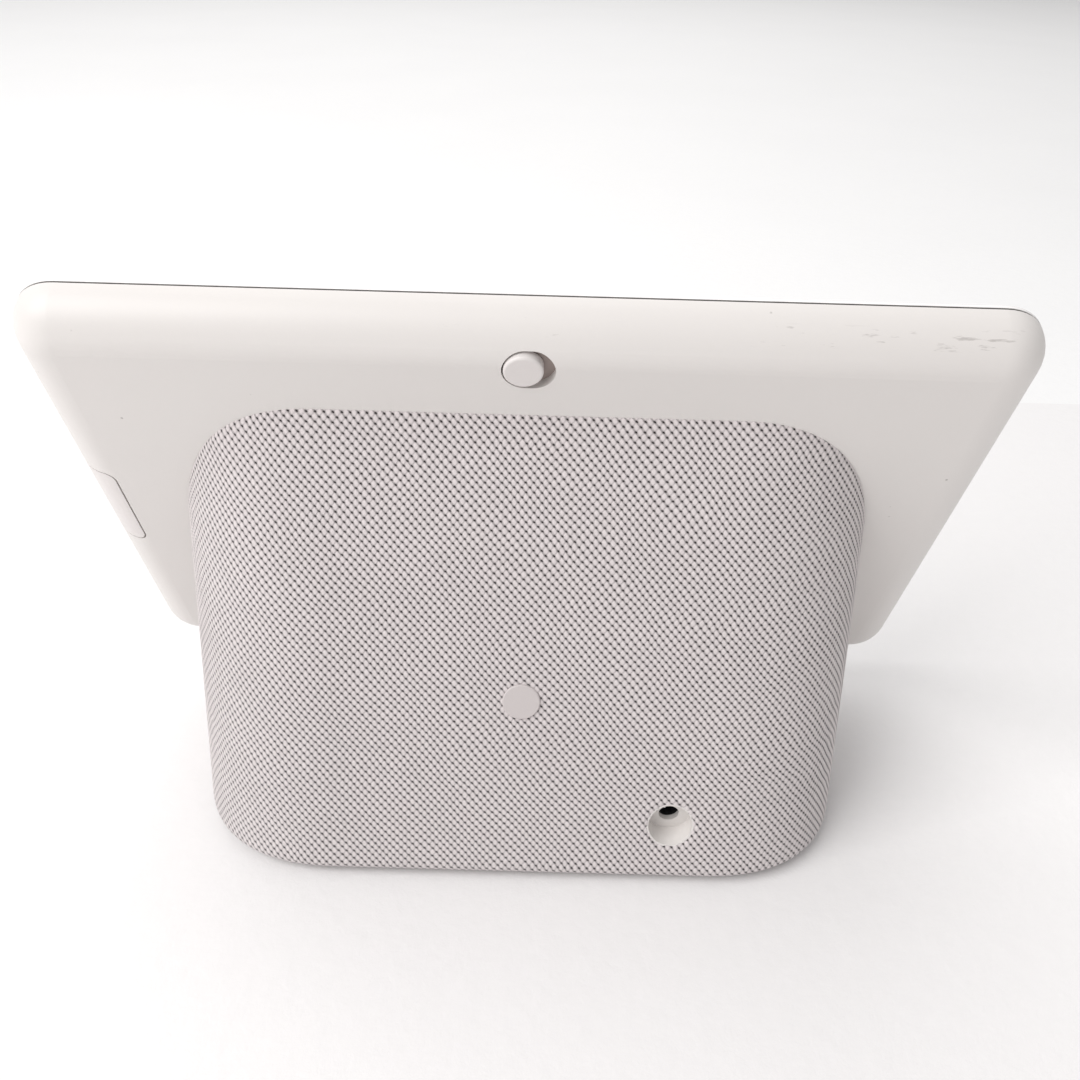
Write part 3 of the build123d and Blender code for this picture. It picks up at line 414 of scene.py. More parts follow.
@dataclass(frozen=True)
class HeadPlace:
    """Where the head's flat directions run, for finishes that follow them."""

    middle: Point
    tilt: float
    half_height: float

    def up_slope(self, graph: Graph, point: Wire) -> Wire:
        """Millimetres up the slope from the head's middle."""
        direction = (0.0, math.sin(self.tilt), math.cos(self.tilt))
        start = sum(a * b for a, b in zip(direction, self.middle))
        return graph.along(point, direction, start)

    def across(self, graph: Graph, point: Wire) -> Wire:
        """Millimetres to the side of the head's middle."""
        return graph.along(point, (1.0, 0.0, 0.0), self.middle[0])


@dataclass(frozen=True)
class HandledPlastic(MouldedPlastic):
    """The head's plastic, with rub marks along its upper edge."""

    head: HeadPlace = HeadPlace((0, 0, 0), 0, 0)
    rub_colour: Colour = srgb(150, 143, 140)
    band_top: Span = (0.5, 1.1)
    band_bottom: Span = (2.7, 3.4)
    busy_start: Span = (-86.0, -78.0)
    busy_end: Span = (-44.0, -36.0)
    sparse_end: Span = (22.0, 30.0)

    def tint(self, graph: Graph, point: Wire) -> Wire:
        """Colour with grey rub marks near the top edge.

        Args:
            graph: graph to add to.
            point: place in millimetres.

        Returns:
            The base colour.
        """
        colour = super().tint(graph, point)
        below_top = self.head.half_height - self.head.up_slope(graph, point)
        band = below_top.rise(*self.band_top) * (1.0 - below_top.rise(*self.band_bottom))
        side = self.head.across(graph, point)
        busy = (1.0 - side.rise(*self.busy_end)) * side.rise(*self.busy_start)
        sparse = 1.0 - side.rise(*self.sparse_end)
        streaks = graph.noise(graph.stretched(point, (0.28, 1.6, 1.6)), 1.3, 3.0, 0.65)
        strong = streaks.rise(0.6, 0.72) * busy * 0.5
        weak = streaks.rise(0.68, 0.8) * sparse * 0.4
        return graph.mixed(strong.largest(weak) * band, colour, self.rub_colour)


@dataclass(frozen=True)
class CoverGlass(Finish):
    """Glass over a dark screen with a pale printed border."""

    head: HeadPlace = HeadPlace((0, 0, 0), 0, 0)
    border: Colour = (0.8, 0.8, 0.8)
    half_width: float = 77.1
    half_height: float = 43.3
    corner: float = 2.0
    edge: float = 0.12
    screen_inset: Span = (1.5, 1.3)
    sensor_up: float = 48.4
    sensor_fade: Span = (1.5, 2.2)

    def build(self, graph: Graph) -> bpy.types.Material:
        """Make the glass.

        Args:
            graph: the graph to fill.

        Returns:
            The material.
        """
        point = graph.place()
        side, up = self.head.across(graph, point), self.head.up_slope(graph, point)
        out_x = (abs(side) - (self.half_width - self.corner)).largest(0.0)
        out_y = (abs(up) - (self.half_height - self.corner)).largest(0.0)
        reach = (out_x * out_x + out_y * out_y) ** 0.5
        border = reach.rise(self.corner - self.edge, self.corner + self.edge)
        inner = reach.rise(*(self.corner - inset for inset in self.screen_inset))
        dots = graph.cells(point, 0.35).rise(0.1, 0.5)
        cell = graph.mixed(dots, (0.004, 0.004, 0.005), (0.007, 0.007, 0.009))
        screen = graph.mixed(inner, cell, (0.002, 0.002, 0.002))
        drift = graph.noise(point, 30.0, 2.0)
        printed = graph.shade(self.border, 0.985 + drift * 0.03)
        above = up - self.sensor_up
        sensor = 1.0 - (side * side + above * above).rise(*self.sensor_fade)
        printed = graph.mixed(sensor, printed, (0.05, 0.045, 0.05))
        smear = graph.noise(graph.stretched(point, (1.0, 0.4, 0.4)), 9.0, 5.0, 0.7)
        return graph.surface(
            Base_Color=graph.mixed(border, screen, printed),
            Roughness=0.06 + smear.rise(0.45, 0.8) * 0.09,
            Normal=graph.bump(graph.noise(point, 60.0, 1.0), 0.01),
            IOR=1.52,
        )


@dataclass(frozen=True)
class Knit(Finish):
    """Knitted mesh: pale slanting stitches, with painted shade in the small gaps and creases between
    them.
    """

    yarn: Colour = (0.5, 0.5, 0.5)
    # colour of the painted shade in the stitches' gaps and creases
    shaded_gap: Colour = (0.05, 0.05, 0.05)
    pitch: float = 1.55
    row: float = 0.925
    strand_contrast: float = 0.16
    fuzz_contrast: float = 0.2
    loop_contrast: float = 0.18
    drift_contrast: float = 0.08
    crease_shade: float = 0.36
    dome_depth: float = 0.3
    strand_depth: float = 0.05

    def build(self, graph: Graph) -> bpy.types.Material:
        """Make the knit.

        Args:
            graph: the graph to fill.

        Returns:
            The material.
        """
        weave = graph.node("ShaderNodeAttribute", {"attribute_name": "weave"}, out="Vector")
        point = graph.place()
        column, row = (
            graph.along(weave, tuple(float(i == axis) for i in range(3))) for axis in range(2)
        )
        hole, crease = self._gaps(column, row)
        line = {0: column * 9.0 - row * 4.0, 1: row * 1.2 + column * 0.6}
        yarn_line = graph.node("ShaderNodeCombineXYZ", None, line)
        strands = graph.noise(yarn_line, 1.0, 2.0, 0.6)
        fuzz = graph.noise(point, 0.13, 2.0, 0.7)
        loops = graph.noise(point, 1.1, 1.0)
        drift = graph.noise(point, 26.0, 3.0)
        level = (
            0.9
            + (strands - 0.5) * self.strand_contrast
            + (fuzz - 0.5) * self.fuzz_contrast
            + (loops - 0.5) * self.loop_contrast
            + (drift - 0.5) * self.drift_contrast
        )
        stitch = graph.shade(self.yarn, level)
        # painted shade: the gaps and creases are darkened towards the gap colour, standing in for the
        # shade in these dents
        dark = (hole + crease * self.crease_shade).clamped()
        colour = graph.mixed(dark, stitch, self.shaded_gap)
        dome = (1.0 - hole) * (1.0 - crease * 0.6)
        under = graph.bump(dome, self.dome_depth)
        finer = graph.bump(strands * 0.6 + fuzz * 0.4, self.strand_depth, under)
        return graph.surface(
            Base_Color=colour,
            Roughness=0.88 + (fuzz - 0.5) * 0.1,
            Normal=finer,
            Sheen_Weight=0.25,
            Sheen_Roughness=0.5,
            Specular_IOR_Level=0.25,
        )

    def _gaps(self, column: Wire, row: Wire) -> tuple[Wire, Wire]:
        """Gap and crease of the nearest stitches.

        Args:
            column: place along the rows, in stitches.
            row: place across the rows, in rows.

        Returns:
            The small gap and the slanting creases round it, each 0 to 1; the colour darkens both as
            painted shade.
        """
        holes = []
        for shift in (0.0, 1.0):
            up = row - ((row - shift) * 0.5).nearest() * 2.0 - shift
            aside = column - shift * 0.5
            aside = aside - aside.nearest()
            holes.append(stitch_gap(aside * self.pitch, up * self.row).exp())
        rising = column + row * 0.5
        falling = column - row * 0.5
        first = crease_between(rising - rising.nearest()).exp()
        second = crease_between(falling - falling.nearest()).exp()
        return holes[0].largest(holes[1]), first.largest(second * 0.5)


def stitch_gap(aside: Any, up: Any) -> Any:
    """Exponent of one stitch's gap.

    Args:
        aside: millimetres to the side of the gap, a wire or an array.
        up: millimetres above it, a wire or an array.

    Returns:
        Exponent of the gap's depth, 0 at its middle.
    """
    half_width, half_height, slant = 0.27, 0.19, math.radians(-24.0)
    cos_s, sin_s = math.cos(slant), math.sin(slant)
    along = (aside * cos_s + up * sin_s) / half_width
    across = (up * cos_s - aside * sin_s) / half_height
    return -1.0 * (along * along + across * across)


def crease_between(share: Any) -> Any:
    """Exponent of the crease between two diagonal strands.

    Args:
        share: distance from the crease as a share of the strands' spacing.

    Returns:
        Exponent of the crease's depth, 0 at its middle.
    """
    spacing, half_width = 1.19, 0.17
    across = share * (spacing / half_width)
    return -1.0 * (across * across)


@dataclass(frozen=True)
class Metal(Finish):
    """Metal with rolled or cast streaks."""

    colour: Colour = (0.6, 0.6, 0.6)
    roughness: float = 0.35
    streak: Point = (0.1, 1.0, 1.0)
    grain: float = 0.4
    depth: float = 0.01

    def build(self, graph: Graph) -> bpy.types.Material:
        """Make the metal.

        Args:
            graph: the graph to fill.

        Returns:
            The material.
        """
        point = graph.place()
        lines = graph.noise(graph.stretched(point, self.streak), self.grain, 3.0, 0.6)
        stain = graph.noise(point, 11.0, 3.0)
        return graph.surface(
            Base_Color=graph.shade(self.colour, 0.9 + lines * 0.12 + (stain - 0.5) * 0.1),
            Roughness=self.roughness + (lines - 0.5) * 0.18,
            Normal=graph.bump(lines, self.depth),
            Metallic=1.0,
        )


@dataclass(frozen=True)
class Rubber(Finish):
    """Matt rubber or foam."""

    colour: Colour = (0.05, 0.05, 0.05)
    roughness: float = 0.8
    pore: float = 0.3
    depth: float = 0.02

    def build(self, graph: Graph) -> bpy.types.Material:
        """Make the rubber.

        Args:
            graph: the graph to fill.

        Returns:
            The material.
        """
        point = graph.place()
        pores = graph.cells(point, self.pore)
        dust = graph.noise(point, 6.0, 4.0, 0.7)
        level = 0.88 + pores * 0.15 + (dust - 0.5) * 0.2
        return graph.surface(
            Base_Color=graph.shade(self.colour, level),
            Roughness=self.roughness + (dust - 0.5) * 0.12,
            Normal=graph.bump(pores, self.depth),
        )


@dataclass(frozen=True)
class CircuitBoard(Finish):
    """Solder mask over copper tracks and vias."""

    mask: Colour = (0.01, 0.12, 0.05)
    track: Colour = (0.03, 0.22, 0.09)

    def build(self, graph: Graph) -> bpy.types.Material:
        """Make the board.

        Args:
            graph: the graph to fill.

        Returns:
            The material.
        """
        point = graph.place()
        warp = graph.noise(point, 7.0, 1.0)
        lines = (graph.along(point, (4.2, 3.1, 3.1)) + warp * 9.0).cosine().rise(0.35, 0.6)
        blocks = graph.noise(point, 9.0, 0.0).rise(0.45, 0.5)
        vias = 1.0 - graph.cells(point, 2.1).rise(0.08, 0.12)
        copper = (lines * blocks).clamped()
        colour = graph.mixed(copper, self.mask, self.track)
        colour = graph.mixed(vias, colour, (0.6, 0.5, 0.25))
        return graph.surface(
            Base_Color=colour,
            Roughness=0.38 - vias * 0.1,
            Metallic=vias,
            Normal=graph.bump(copper, 0.03),
        )


@dataclass(frozen=True)
class Chip(Finish):
    """Black moulding compound, dulled in patches."""

    def build(self, graph: Graph) -> bpy.types.Material:
        """Make the chip's surface.

        Args:
            graph: the graph to fill.

        Returns:
            The material.
        """
        point = graph.place()
        grain = graph.noise(point, 0.12, 2.0, 0.7)
        dulled = graph.noise(point, 5.0, 1.0)
        return graph.surface(
            Base_Color=graph.shade((0.022, 0.022, 0.024), 0.8 + grain * 0.4),
            Roughness=0.5 + (dulled - 0.5) * 0.15,
            Normal=graph.bump(grain, 0.008),
        )


@dataclass(frozen=True)
class Ribbed(Finish):
    """A surface with close parallel lines, such as windings or conductors."""

    colour: Colour = (0.5, 0.2, 0.1)
    line: Colour = (0.3, 0.1, 0.05)
    direction: Point = (1.0, 0.0, 0.0)
    pitch: float = 0.3
    roughness: float = 0.4
    metallic: float = 0.0

    def build(self, graph: Graph) -> bpy.types.Material:
        """Make the lines.

        Args:
            graph: the graph to fill.

        Returns:
            The material.
        """
        point = graph.place()
        turns = (graph.along(point, self.direction) * (2 * math.pi / self.pitch)).cosine()
        height = turns * 0.5 + 0.5
        stain = graph.noise(point, 4.0, 3.0)
        colour = graph.mixed(height, self.line, self.colour)
        return graph.surface(
            Base_Color=graph.shade(colour, 0.9 + stain * 0.2),
            Roughness=self.roughness + (stain - 0.5) * 0.1,
            Normal=graph.bump(height, 0.04),
            Metallic=self.metallic,
        )


@dataclass(frozen=True)
class Fibre(Finish):
    """Pressed pulp or woven cloth."""

    colour: Colour = (0.05, 0.05, 0.05)
    size: float = 0.5
    woven: bool = False

    def build(self, graph: Graph) -> bpy.types.Material:
        """Make the fibres.

        Args:
            graph: the graph to fill.

        Returns:
            The material.
        """
        point = graph.place()
        if self.woven:
            turn = 2 * math.pi / self.size
            warp = (graph.along(point, (1.0, 0.0, 0.0)) * turn).cosine()
            weft = (graph.along(point, (0.0, 0.28, 0.96)) * turn).cosine()
            height = warp * weft * 0.5 + 0.5
        else:
            long_fibre = graph.noise(graph.stretched(point, (0.3, 1.0, 1.0)), self.size, 3.0)
            height = (long_fibre + graph.noise(point, self.size * 0.6, 2.0)) * 0.5
        return graph.surface(
            Base_Color=graph.shade(self.colour, 0.75 + height * 0.5),
            Roughness=0.85 + (height - 0.5) * 0.1,
            Normal=graph.bump(height, 0.06),
        )


@dataclass(frozen=True)
class Clear(Finish):
    """Clear or frosted plastic."""

    colour: Colour = (0.9, 0.92, 0.93)
    roughness: float = 0.2
    transmission: float = 0.8

    def build(self, graph: Graph) -> bpy.types.Material:
        """Make the clear plastic.

        Args:
            graph: the graph to fill.

        Returns:
            The material.
        """
        point = graph.place()
        dots = graph.cells(point, 0.8)
        return graph.surface(
            Base_Color=graph.shade(self.colour, 0.95 + dots * 0.05),
            Roughness=self.roughness + dots * 0.1,
            Normal=graph.bump(dots, 0.01),
            Transmission_Weight=self.transmission,
            IOR=1.49,
        )


@dataclass(frozen=True)
class Tabletop(Finish):
    """Pale laminate under and round the object."""

    colour: Colour = (0.86, 0.85, 0.85)

    def build(self, graph: Graph) -> bpy.types.Material:
        """Make the tabletop.

        Args:
            graph: the graph to fill.

        Returns:
            The material.
        """
        point = graph.place()
        grain = graph.noise(point, 4.0, 4.0, 0.65)
        drift = graph.noise(point, 120.0, 2.0)
        level = 0.985 + (grain - 0.5) * 0.03 + (drift - 0.5) * 0.03
        return graph.surface(
            Base_Color=graph.shade(self.colour, level),
            Roughness=0.6 + (grain - 0.5) * 0.1,
            Normal=graph.bump(grain, 0.16),
        )


# ---- sub-assemblies
def dress(finish: Finish, *names: str) -> None:
    """Give CAD nodes a finish.

    Args:
        finish: the finish.
        names: the nodes' names.
    """
    for name in names:
        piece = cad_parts[name]
        piece.data.materials.clear()
        piece.data.materials.append(finish.material())
        LOG.info("%s dressed in %s", name, finish.name)


def middle_of(node: str) -> Vector:
    """Middle of a CAD node's box, in metres."""
    low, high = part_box(node)
    return (low + high) / 2


@dataclass
class Head:
    """Screen, rear cover and the controls in them."""

    tilt: float = math.radians(21.0)
    glass_thickness: float = 1.1
    housing: Colour = srgb(223, 219, 216)
    border: Colour = srgb(244, 242, 241)
    keys: Colour = srgb(222, 217, 215)
    slot: Colour = srgb(156, 143, 138)

    def place(self) -> HeadPlace:
        """Where the head's glass face lies.

        Returns:
            Middle of the glass, its tilt and half of its height.
        """
        low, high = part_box("front_glass")
        rise = (high.z - low.z) / MM
        height = (rise - self.glass_thickness * math.sin(self.tilt)) / math.cos(self.tilt)
        middle = middle_of("front_glass") / MM
        return HeadPlace(tuple(middle), self.tilt, height / 2)

    def build(self) -> None:
        """Dress the head's visible and inner pieces."""
        place = self.place()
        dress(CoverGlass("glass_front", place, self.border), "front_glass")
        dress(HandledPlastic("cover_plastic", self.housing, 0.42, head=place, specks=0.55), "rear_cover")
        dress(MouldedPlastic("key_plastic", self.keys, 0.4), "volume_rocker", "mute_knob")
        dress(MouldedPlastic("taupe_plastic", self.slot, 0.6), "mute_slot_plate")
        dress(Rubber("black_seal", (0.03, 0.024, 0.022), 0.75), "display_gasket", "microphone_gaskets")
        self.dress_display()
        self.dress_boards()
        dress(
            Metal("screw_steel", (0.42, 0.42, 0.43), 0.28, EVEN, 0.25),
            *("midframe_screws", "main_board_screws", "stand_screws", "rocker_pin"),
        )
        dress(
            MouldedPlastic("black_plastic", (0.018, 0.018, 0.019), 0.45),
            *("volume_switches", "volume_up_plunger", "volume_down_plunger", "mute_switch_body"),
        )

    @staticmethod
    def dress_display() -> None:
        """Dress the screen's layers and what carries them."""
        dress(Clear("screen_cell", (0.01, 0.01, 0.012), 0.2, 0.0), "lcd_panel")
        dress(Clear("light_guide", (0.92, 0.93, 0.95), 0.35, 0.6), "light_guide")
        dress(Metal("cast_frame", (0.5, 0.5, 0.51), 0.5, EVEN, 0.6, 0.04), "midframe")
        dress(
            Metal("tray_steel", (0.55, 0.56, 0.57), 0.3),
            *("backlight_tray", "microphones", "processor_shield", "stand_bracket"),
        )

    @staticmethod
    def dress_boards() -> None:
        """Dress the boards, their parts and their flat leads."""
        dress(CircuitBoard("board_green"), "volume_board", "sensor_board", "main_board")
        dress(MouldedPlastic("socket_plastic", srgb(214, 208, 190), 0.5), "board_sockets")
        dress(Chip("chip_black"), "processor", "memory_chips")
        dress(Rubber("pad_grey", (0.32, 0.33, 0.36), 0.7, 0.5), "thermal_pad")
        dress(Metal("copper", (0.72, 0.34, 0.2), 0.3), "heat_spreader")
        dress(Clear("clear_plastic", (0.85, 0.87, 0.88), 0.12, 0.9), "sensor_light_pipe", "light_sensor")
        amber, line = (0.62, 0.25, 0.05), (0.4, 0.15, 0.04)
        upright, level = (0, 0, 1), (1, 0, 0)
        dress(Ribbed("flex_orange", amber, line, upright, 1.4), "antenna_left")
        dress(Ribbed("flex_orange_b", amber, line, upright, 1.4), "antenna_right")
        dress(Ribbed("flex_cable", amber, line, level, 0.6), "display_cable")


@dataclass
class Sleeve:
    """Knitted sleeve stretched round the base, with its stitches in relief."""

    tilt: float = math.radians(21.0)
    lean: float = math.radians(16.2)
    cover_depth: float = 9.75
    front: float = -15.7
    rear_corner: float = 31.8
    front_corner: float = 17.0
    pull: float = 0.64
    lip: float = 2.6
    under: float = 3.1
    pitch: float = 1.55
    row: float = 0.925
    relief: float = 0.17
    port_radius: float = 4.6
    port_turn: float = 0.3
    turn_width: float = 0.55
    ring_width: float = 0.24
    edge_height: float = 1.2
    edge_tuck: float = 0.35
    tuck_from: float = 6.0
    gap_spread: float = 0.6
    crease_spread: float = 0.7
    crease_depth: float = 0.5
    seed: int = 7
    waves: int = 9
    wave_lengths: Span = (3.0, 28.0)
    wave_size: float = 0.012
    straight_step: float = 0.1
    bend_points: int = 600
    samples_per_stitch: int = 4
    samples_per_row: int = 2
    yarn: Colour = srgb(229, 221, 221)
    # colour of the painted shade in the knit's gaps and creases
    shaded_gap: Colour = srgb(38, 32, 32)
    flat: Span = (0.0, 0.0)
    flat_area: float = 0.0

    def plan(self) -> Grid:
        """Closed plan outline of the base at floor level.

        Returns:
            Fine points round the outline, in millimetres, from the front's middle.
        """
        low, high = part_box("fabric_sleeve")
        half = (high.x - low.x) / 2 / MM
        tan_l, cos_l = math.tan(self.lean), math.cos(self.lean)
        level = low.z / MM + self.lip
        back = high.y / MM + tan_l * level + self.lip * (1 / cos_l - 1)
        front = self.front
        runs: list[Grid] = []

        def straight(a: Span, b: Span) -> None:
            """Add a straight run from a to b."""
            steps = max(2, int(math.dist(a, b) / self.straight_step))
            runs.append(np.linspace(a, b, steps, endpoint=False))

        def bend(a: Span, b: Span, c: Span, d: Span) -> None:
            """Add a curve from a to d with handles b and c."""
            t = np.linspace(0, 1, self.bend_points, endpoint=False)[:, None]
            a, b, c, d = (np.array(p, float) for p in (a, b, c, d))
            near_a, near_d = a * (1 - t) ** 3 + 3 * b * t * (1 - t) ** 2, 3 * c * t**2 * (1 - t)
            runs.append(near_a + near_d + d * t**3)

        rear_x, front_x = half - self.rear_corner, half - self.front_corner
        rear_y, front_y = back - self.rear_corner, front + self.front_corner
        rear_p, front_p = self.rear_corner * self.pull, self.front_corner * self.pull
        nose = [(front_x, front), (front_x + front_p, front), (half, front_y - front_p), (half, front_y)]
        tail = [(half, rear_y), (half, rear_y + rear_p), (rear_x + rear_p, back), (rear_x, back)]
        other_side = [[(-x, y) for x, y in reversed(corner)] for corner in (tail, nose)]
        last = (0.0, front)
        for corner in (nose, tail, *other_side):
            straight(last, corner[0])
            bend(*corner)
            last = corner[-1]
        straight(last, (0.0, front))
        return np.concatenate(runs)

    def columns(self) -> tuple[Grid, Grid, Grid]:
        """Evenly spaced columns round the outline.

        Returns:
            Points, outward normals and distances round the outline.
        """
        outline = self.plan()
        closed = np.vstack([outline, outline[:1]])
        lengths = np.r_[0, np.cumsum(np.linalg.norm(np.diff(closed, axis=0), axis=1))]
        stitches = round(lengths[-1] / self.pitch)
        count = stitches * self.samples_per_stitch
        at = np.linspace(0, lengths[-1], count, endpoint=False)
        points = np.stack([np.interp(at, lengths, closed[:, i]) for i in range(2)], 1)
        ahead = np.roll(points, -1, 0) - np.roll(points, 1, 0)
        ahead /= np.linalg.norm(ahead, axis=1)[:, None]
        normals = np.stack([ahead[:, 1], -ahead[:, 0]], 1)
        return points, normals, np.arange(count) / self.samples_per_stitch

    def top_height(self, points: Grid) -> Grid:
        """Height at which each column meets the back of the head.

        Args:
            points: the columns' plan points at floor level.

        Returns:
            Heights in millimetres.
        """
        glass = middle_of("front_glass") / MM
        sin_t, cos_t = math.sin(self.tilt), math.cos(self.tilt)
        top = (points[:, 1] - glass.y) * cos_t + glass.z * sin_t - self.cover_depth
        return top / (math.tan(self.lean) * cos_t + sin_t)

    def waviness(self, column: Grid, row: Grid) -> tuple[Grid, Grid]:
        """Small wander of the stitches.

        Args:
            column: place along the rows, in stitches.
            row: place across the rows, in rows.

        Returns:
            Shift along the rows and across them.
        """
        rng = random.Random(self.seed)
        shift = [np.zeros_like(column), np.zeros_like(column)]
        for axis in range(2):
            for _ in range(self.waves):
                angle, phase = rng.uniform(0, math.pi), rng.uniform(0, 2 * math.pi)
                length = rng.uniform(*self.wave_lengths)
                size = self.wave_size * math.sqrt(length)
                along = column * math.cos(angle) + row * math.sin(angle)
                shift[axis] = shift[axis] + size * np.sin(2 * math.pi * along / length + phase)
        return shift[0], shift[1]

    def relief_at(self, column: Grid, row: Grid) -> Grid:
        """Depth of the stitches' gaps.

        Args:
            column: place along the rows, in stitches.
            row: place across the rows, in rows.

        Returns:
            How far the surface stands below the stitches' tops, 0 to 1.
        """
        deep = np.zeros_like(column)
        for shift in (0.0, 1.0):
            up = row - np.round((row - shift) * 0.5) * 2 - shift
            aside = column - shift * 0.5
            aside = aside - np.round(aside)
            shaded_gap = stitch_gap(aside * self.pitch, up * self.row)
            deep = np.maximum(deep, np.exp(shaded_gap * self.gap_spread))
        for turn in (-0.5, 0.5):
            share = column + row * turn
            crease = crease_between(share - np.round(share))
            deep = np.maximum(deep, self.crease_depth * np.exp(crease * self.crease_spread))
        return deep

    def profile(self, slope: Grid, top: Grid) -> tuple[Grid, Grid, Grid]:
        """Rows of the sleeve from under the base, round its lip and up the wall.

        Args:
            slope: how far each column's wall moves inward for each unit of height.
            top: height at which each column ends.

        Returns:
            Outward place and height of each row's points, and the rows' numbers.
        """
        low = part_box("fabric_sleeve")[0].z / MM
        normal = np.sqrt(1 + slope**2)
        centre_out = -slope * (low + self.lip) - self.lip * normal
        last = np.arctan(slope)
        step = self.row / self.samples_per_row
        bottom = int(self.under / step)
        arc = max(8, int(self.lip * math.pi / 2 / step))
        outs = [centre_out - i * step for i in range(bottom, 0, -1)]
        heights = [np.full_like(slope, low)] * bottom
        for i in range(arc + 1):
            angle = -math.pi / 2 + (last + math.pi / 2) * i / arc
            outs.append(centre_out + self.lip * np.cos(angle))
            heights.append(low + self.lip + self.lip * np.sin(angle))
        start_out, start_up = outs[-1], heights[-1]
        rise = step * math.cos(self.lean)
        rows_up = int((top.max() - start_up.min()) / rise) + 2
        for i in range(1, rows_up + 1):
            up = np.minimum(start_up + i * rise, np.maximum(top, start_up))
            outs.append(start_out - slope * (up - start_up))
            heights.append(up)
        numbers = (np.arange(len(outs)) - bottom - arc) / self.samples_per_row
        return np.array(outs), np.array(heights), numbers

    def build(self) -> bpy.types.Object:
        """Make the sleeve's mesh and dress it.

        Returns:
            The sleeve.
        """
        points, normals, column = self.columns()
        drift = math.tan(self.lean)
        slope = drift * normals[:, 1]
        top = self.top_height(points)
        out, up, numbers = self.profile(slope, top)
        rows, count = out.shape
        flat = out + slope * up
        place = np.empty((rows, count, 3))
        place[:, :, 0] = points[:, 0] + normals[:, 0] * flat
        place[:, :, 1] = points[:, 1] + normals[:, 1] * flat - drift * up
        place[:, :, 2] = up
        row_number = np.repeat(numbers[:, None], count, 1)
        column_number = np.repeat(column[None, :], rows, 0)
        aside, along = self.waviness(column_number, row_number)
        stitch_column, stitch_row = column_number + aside, row_number + along
        across = np.roll(place, -1, 1) - np.roll(place, 1, 1)
        upward = np.gradient(place, axis=0)
        upward[np.linalg.norm(upward, axis=2) < TINY] = (0.0, -drift, 1.0)
        facing = np.cross(across, upward)
        facing /= np.linalg.norm(facing, axis=2)[:, :, None]
        to_top = np.clip((top[None, :] - up) / self.edge_height, 0, 1)
        depth = self.relief * self.relief_at(stitch_column, stitch_row)
        depth += self.edge_tuck * (1 - to_top) ** 2 * (up > self.tuck_from)
        to_port = self.port_distance(place)
        past_port = (to_port - self.port_radius) / self.turn_width
        depth += self.port_turn * np.exp(-(past_port**2))
        lengths = np.linalg.norm(np.diff(place, axis=0), axis=2).sum(0) * MM
        strip = self.pitch / self.samples_per_stitch * MM
        self.flat = (count * strip, float(lengths.max()))
        self.flat_area = float(lengths.sum() * strip)
        place -= facing * depth[:, :, None]
        return self.mesh(place, np.stack([stitch_column, stitch_row], 2), up, top, to_port)

    def port_distance(self, place: Grid) -> Grid:
        """Distance of each point from the axis of the power inlet.

        Args:
            place: points in millimetres.

        Returns:
            Distances in millimetres, large in front of the base's middle.
        """
        collar = middle_of("port_collar") / MM
        away = np.hypot(place[:, :, 0] - collar.x, place[:, :, 2] - collar.z)
        return np.where(place[:, :, 1] > 0, away, FAR)

    def mesh(self, place: Grid, stitch: Grid, up: Grid, top: Grid, to_port: Grid) -> bpy.types.Object:
        """Turn the grid into a dressed piece.

        Args:
            place: points by row and column, in millimetres.
            stitch: their places in stitches and rows.
            up: their heights before the relief.
            top: height at which each column ends.
            to_port: their distances from the inlet's axis.

        Returns:
            The sleeve.
        """
        rows, count, _ = place.shape
        collar = middle_of("port_collar") / MM
        ring = np.abs(to_port - self.port_radius) < self.ring_width
        pull = np.where(ring, self.port_radius / np.maximum(to_port, TINY), 1.0)
        place[:, :, 0] = collar.x + (place[:, :, 0] - collar.x) * pull
        place[:, :, 2] = collar.z + (place[:, :, 2] - collar.z) * pull
        index = np.arange(rows * count).reshape(rows, count)
        right = np.roll(index, -1, 1)
        quads = np.stack([index[:-1], right[:-1], right[1:], index[1:]], 2)
        done = up[:-1] >= top[None, :] - TINY
        finished = done & np.roll(done, -1, 1)
        next_port = np.roll(to_port, -1, 1)
        centre = (to_port[:-1] + next_port[:-1] + to_port[1:] + next_port[1:]) / 4
        keep = ~finished & (centre > self.port_radius)
        faces = quads[keep]
        data = bpy.data.meshes.new("fabric_cover")
        data.from_pydata((place.reshape(-1, 3) * MM).tolist(), [], faces.tolist())
        weave = data.attributes.new("weave", "FLOAT_VECTOR", "POINT")
        flat = np.zeros((rows * count, 3), np.float32)
        flat[:, :2] = stitch.reshape(-1, 2)
        weave.data.foreach_set("vector", flat.ravel())
        self.clean(data)
        piece = bpy.data.objects.new("fabric_cover", data)
        bpy.context.scene.collection.objects.link(piece)
        knit = Knit("grey_fabric", self.yarn, self.shaded_gap, self.pitch, self.row)
        data.materials.append(knit.material())
        data.shade_smooth()
        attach(piece, Body.HOUSING.value)
        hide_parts("fabric_sleeve")
        LOG.info("sleeve of %.4f m2, cut from %.3f x %.3f m", self.flat_area, *self.flat)
        return piece

    @staticmethod
    def clean(data: bpy.types.Mesh) -> None:
        """Drop loose points and faces without area.

        Args:
            data: the mesh to clean.
        """
        work = bmesh.new()
        work.from_mesh(data)
        for merged in (False, True):
            if merged:
                bmesh.ops.dissolve_degenerate(work, dist=2e-6, edges=work.edges[:])
            loose = [v for v in work.verts if not v.link_faces]
            bmesh.ops.delete(work, geom=loose, context="VERTS")
        work.to_mesh(data)
        work.free()


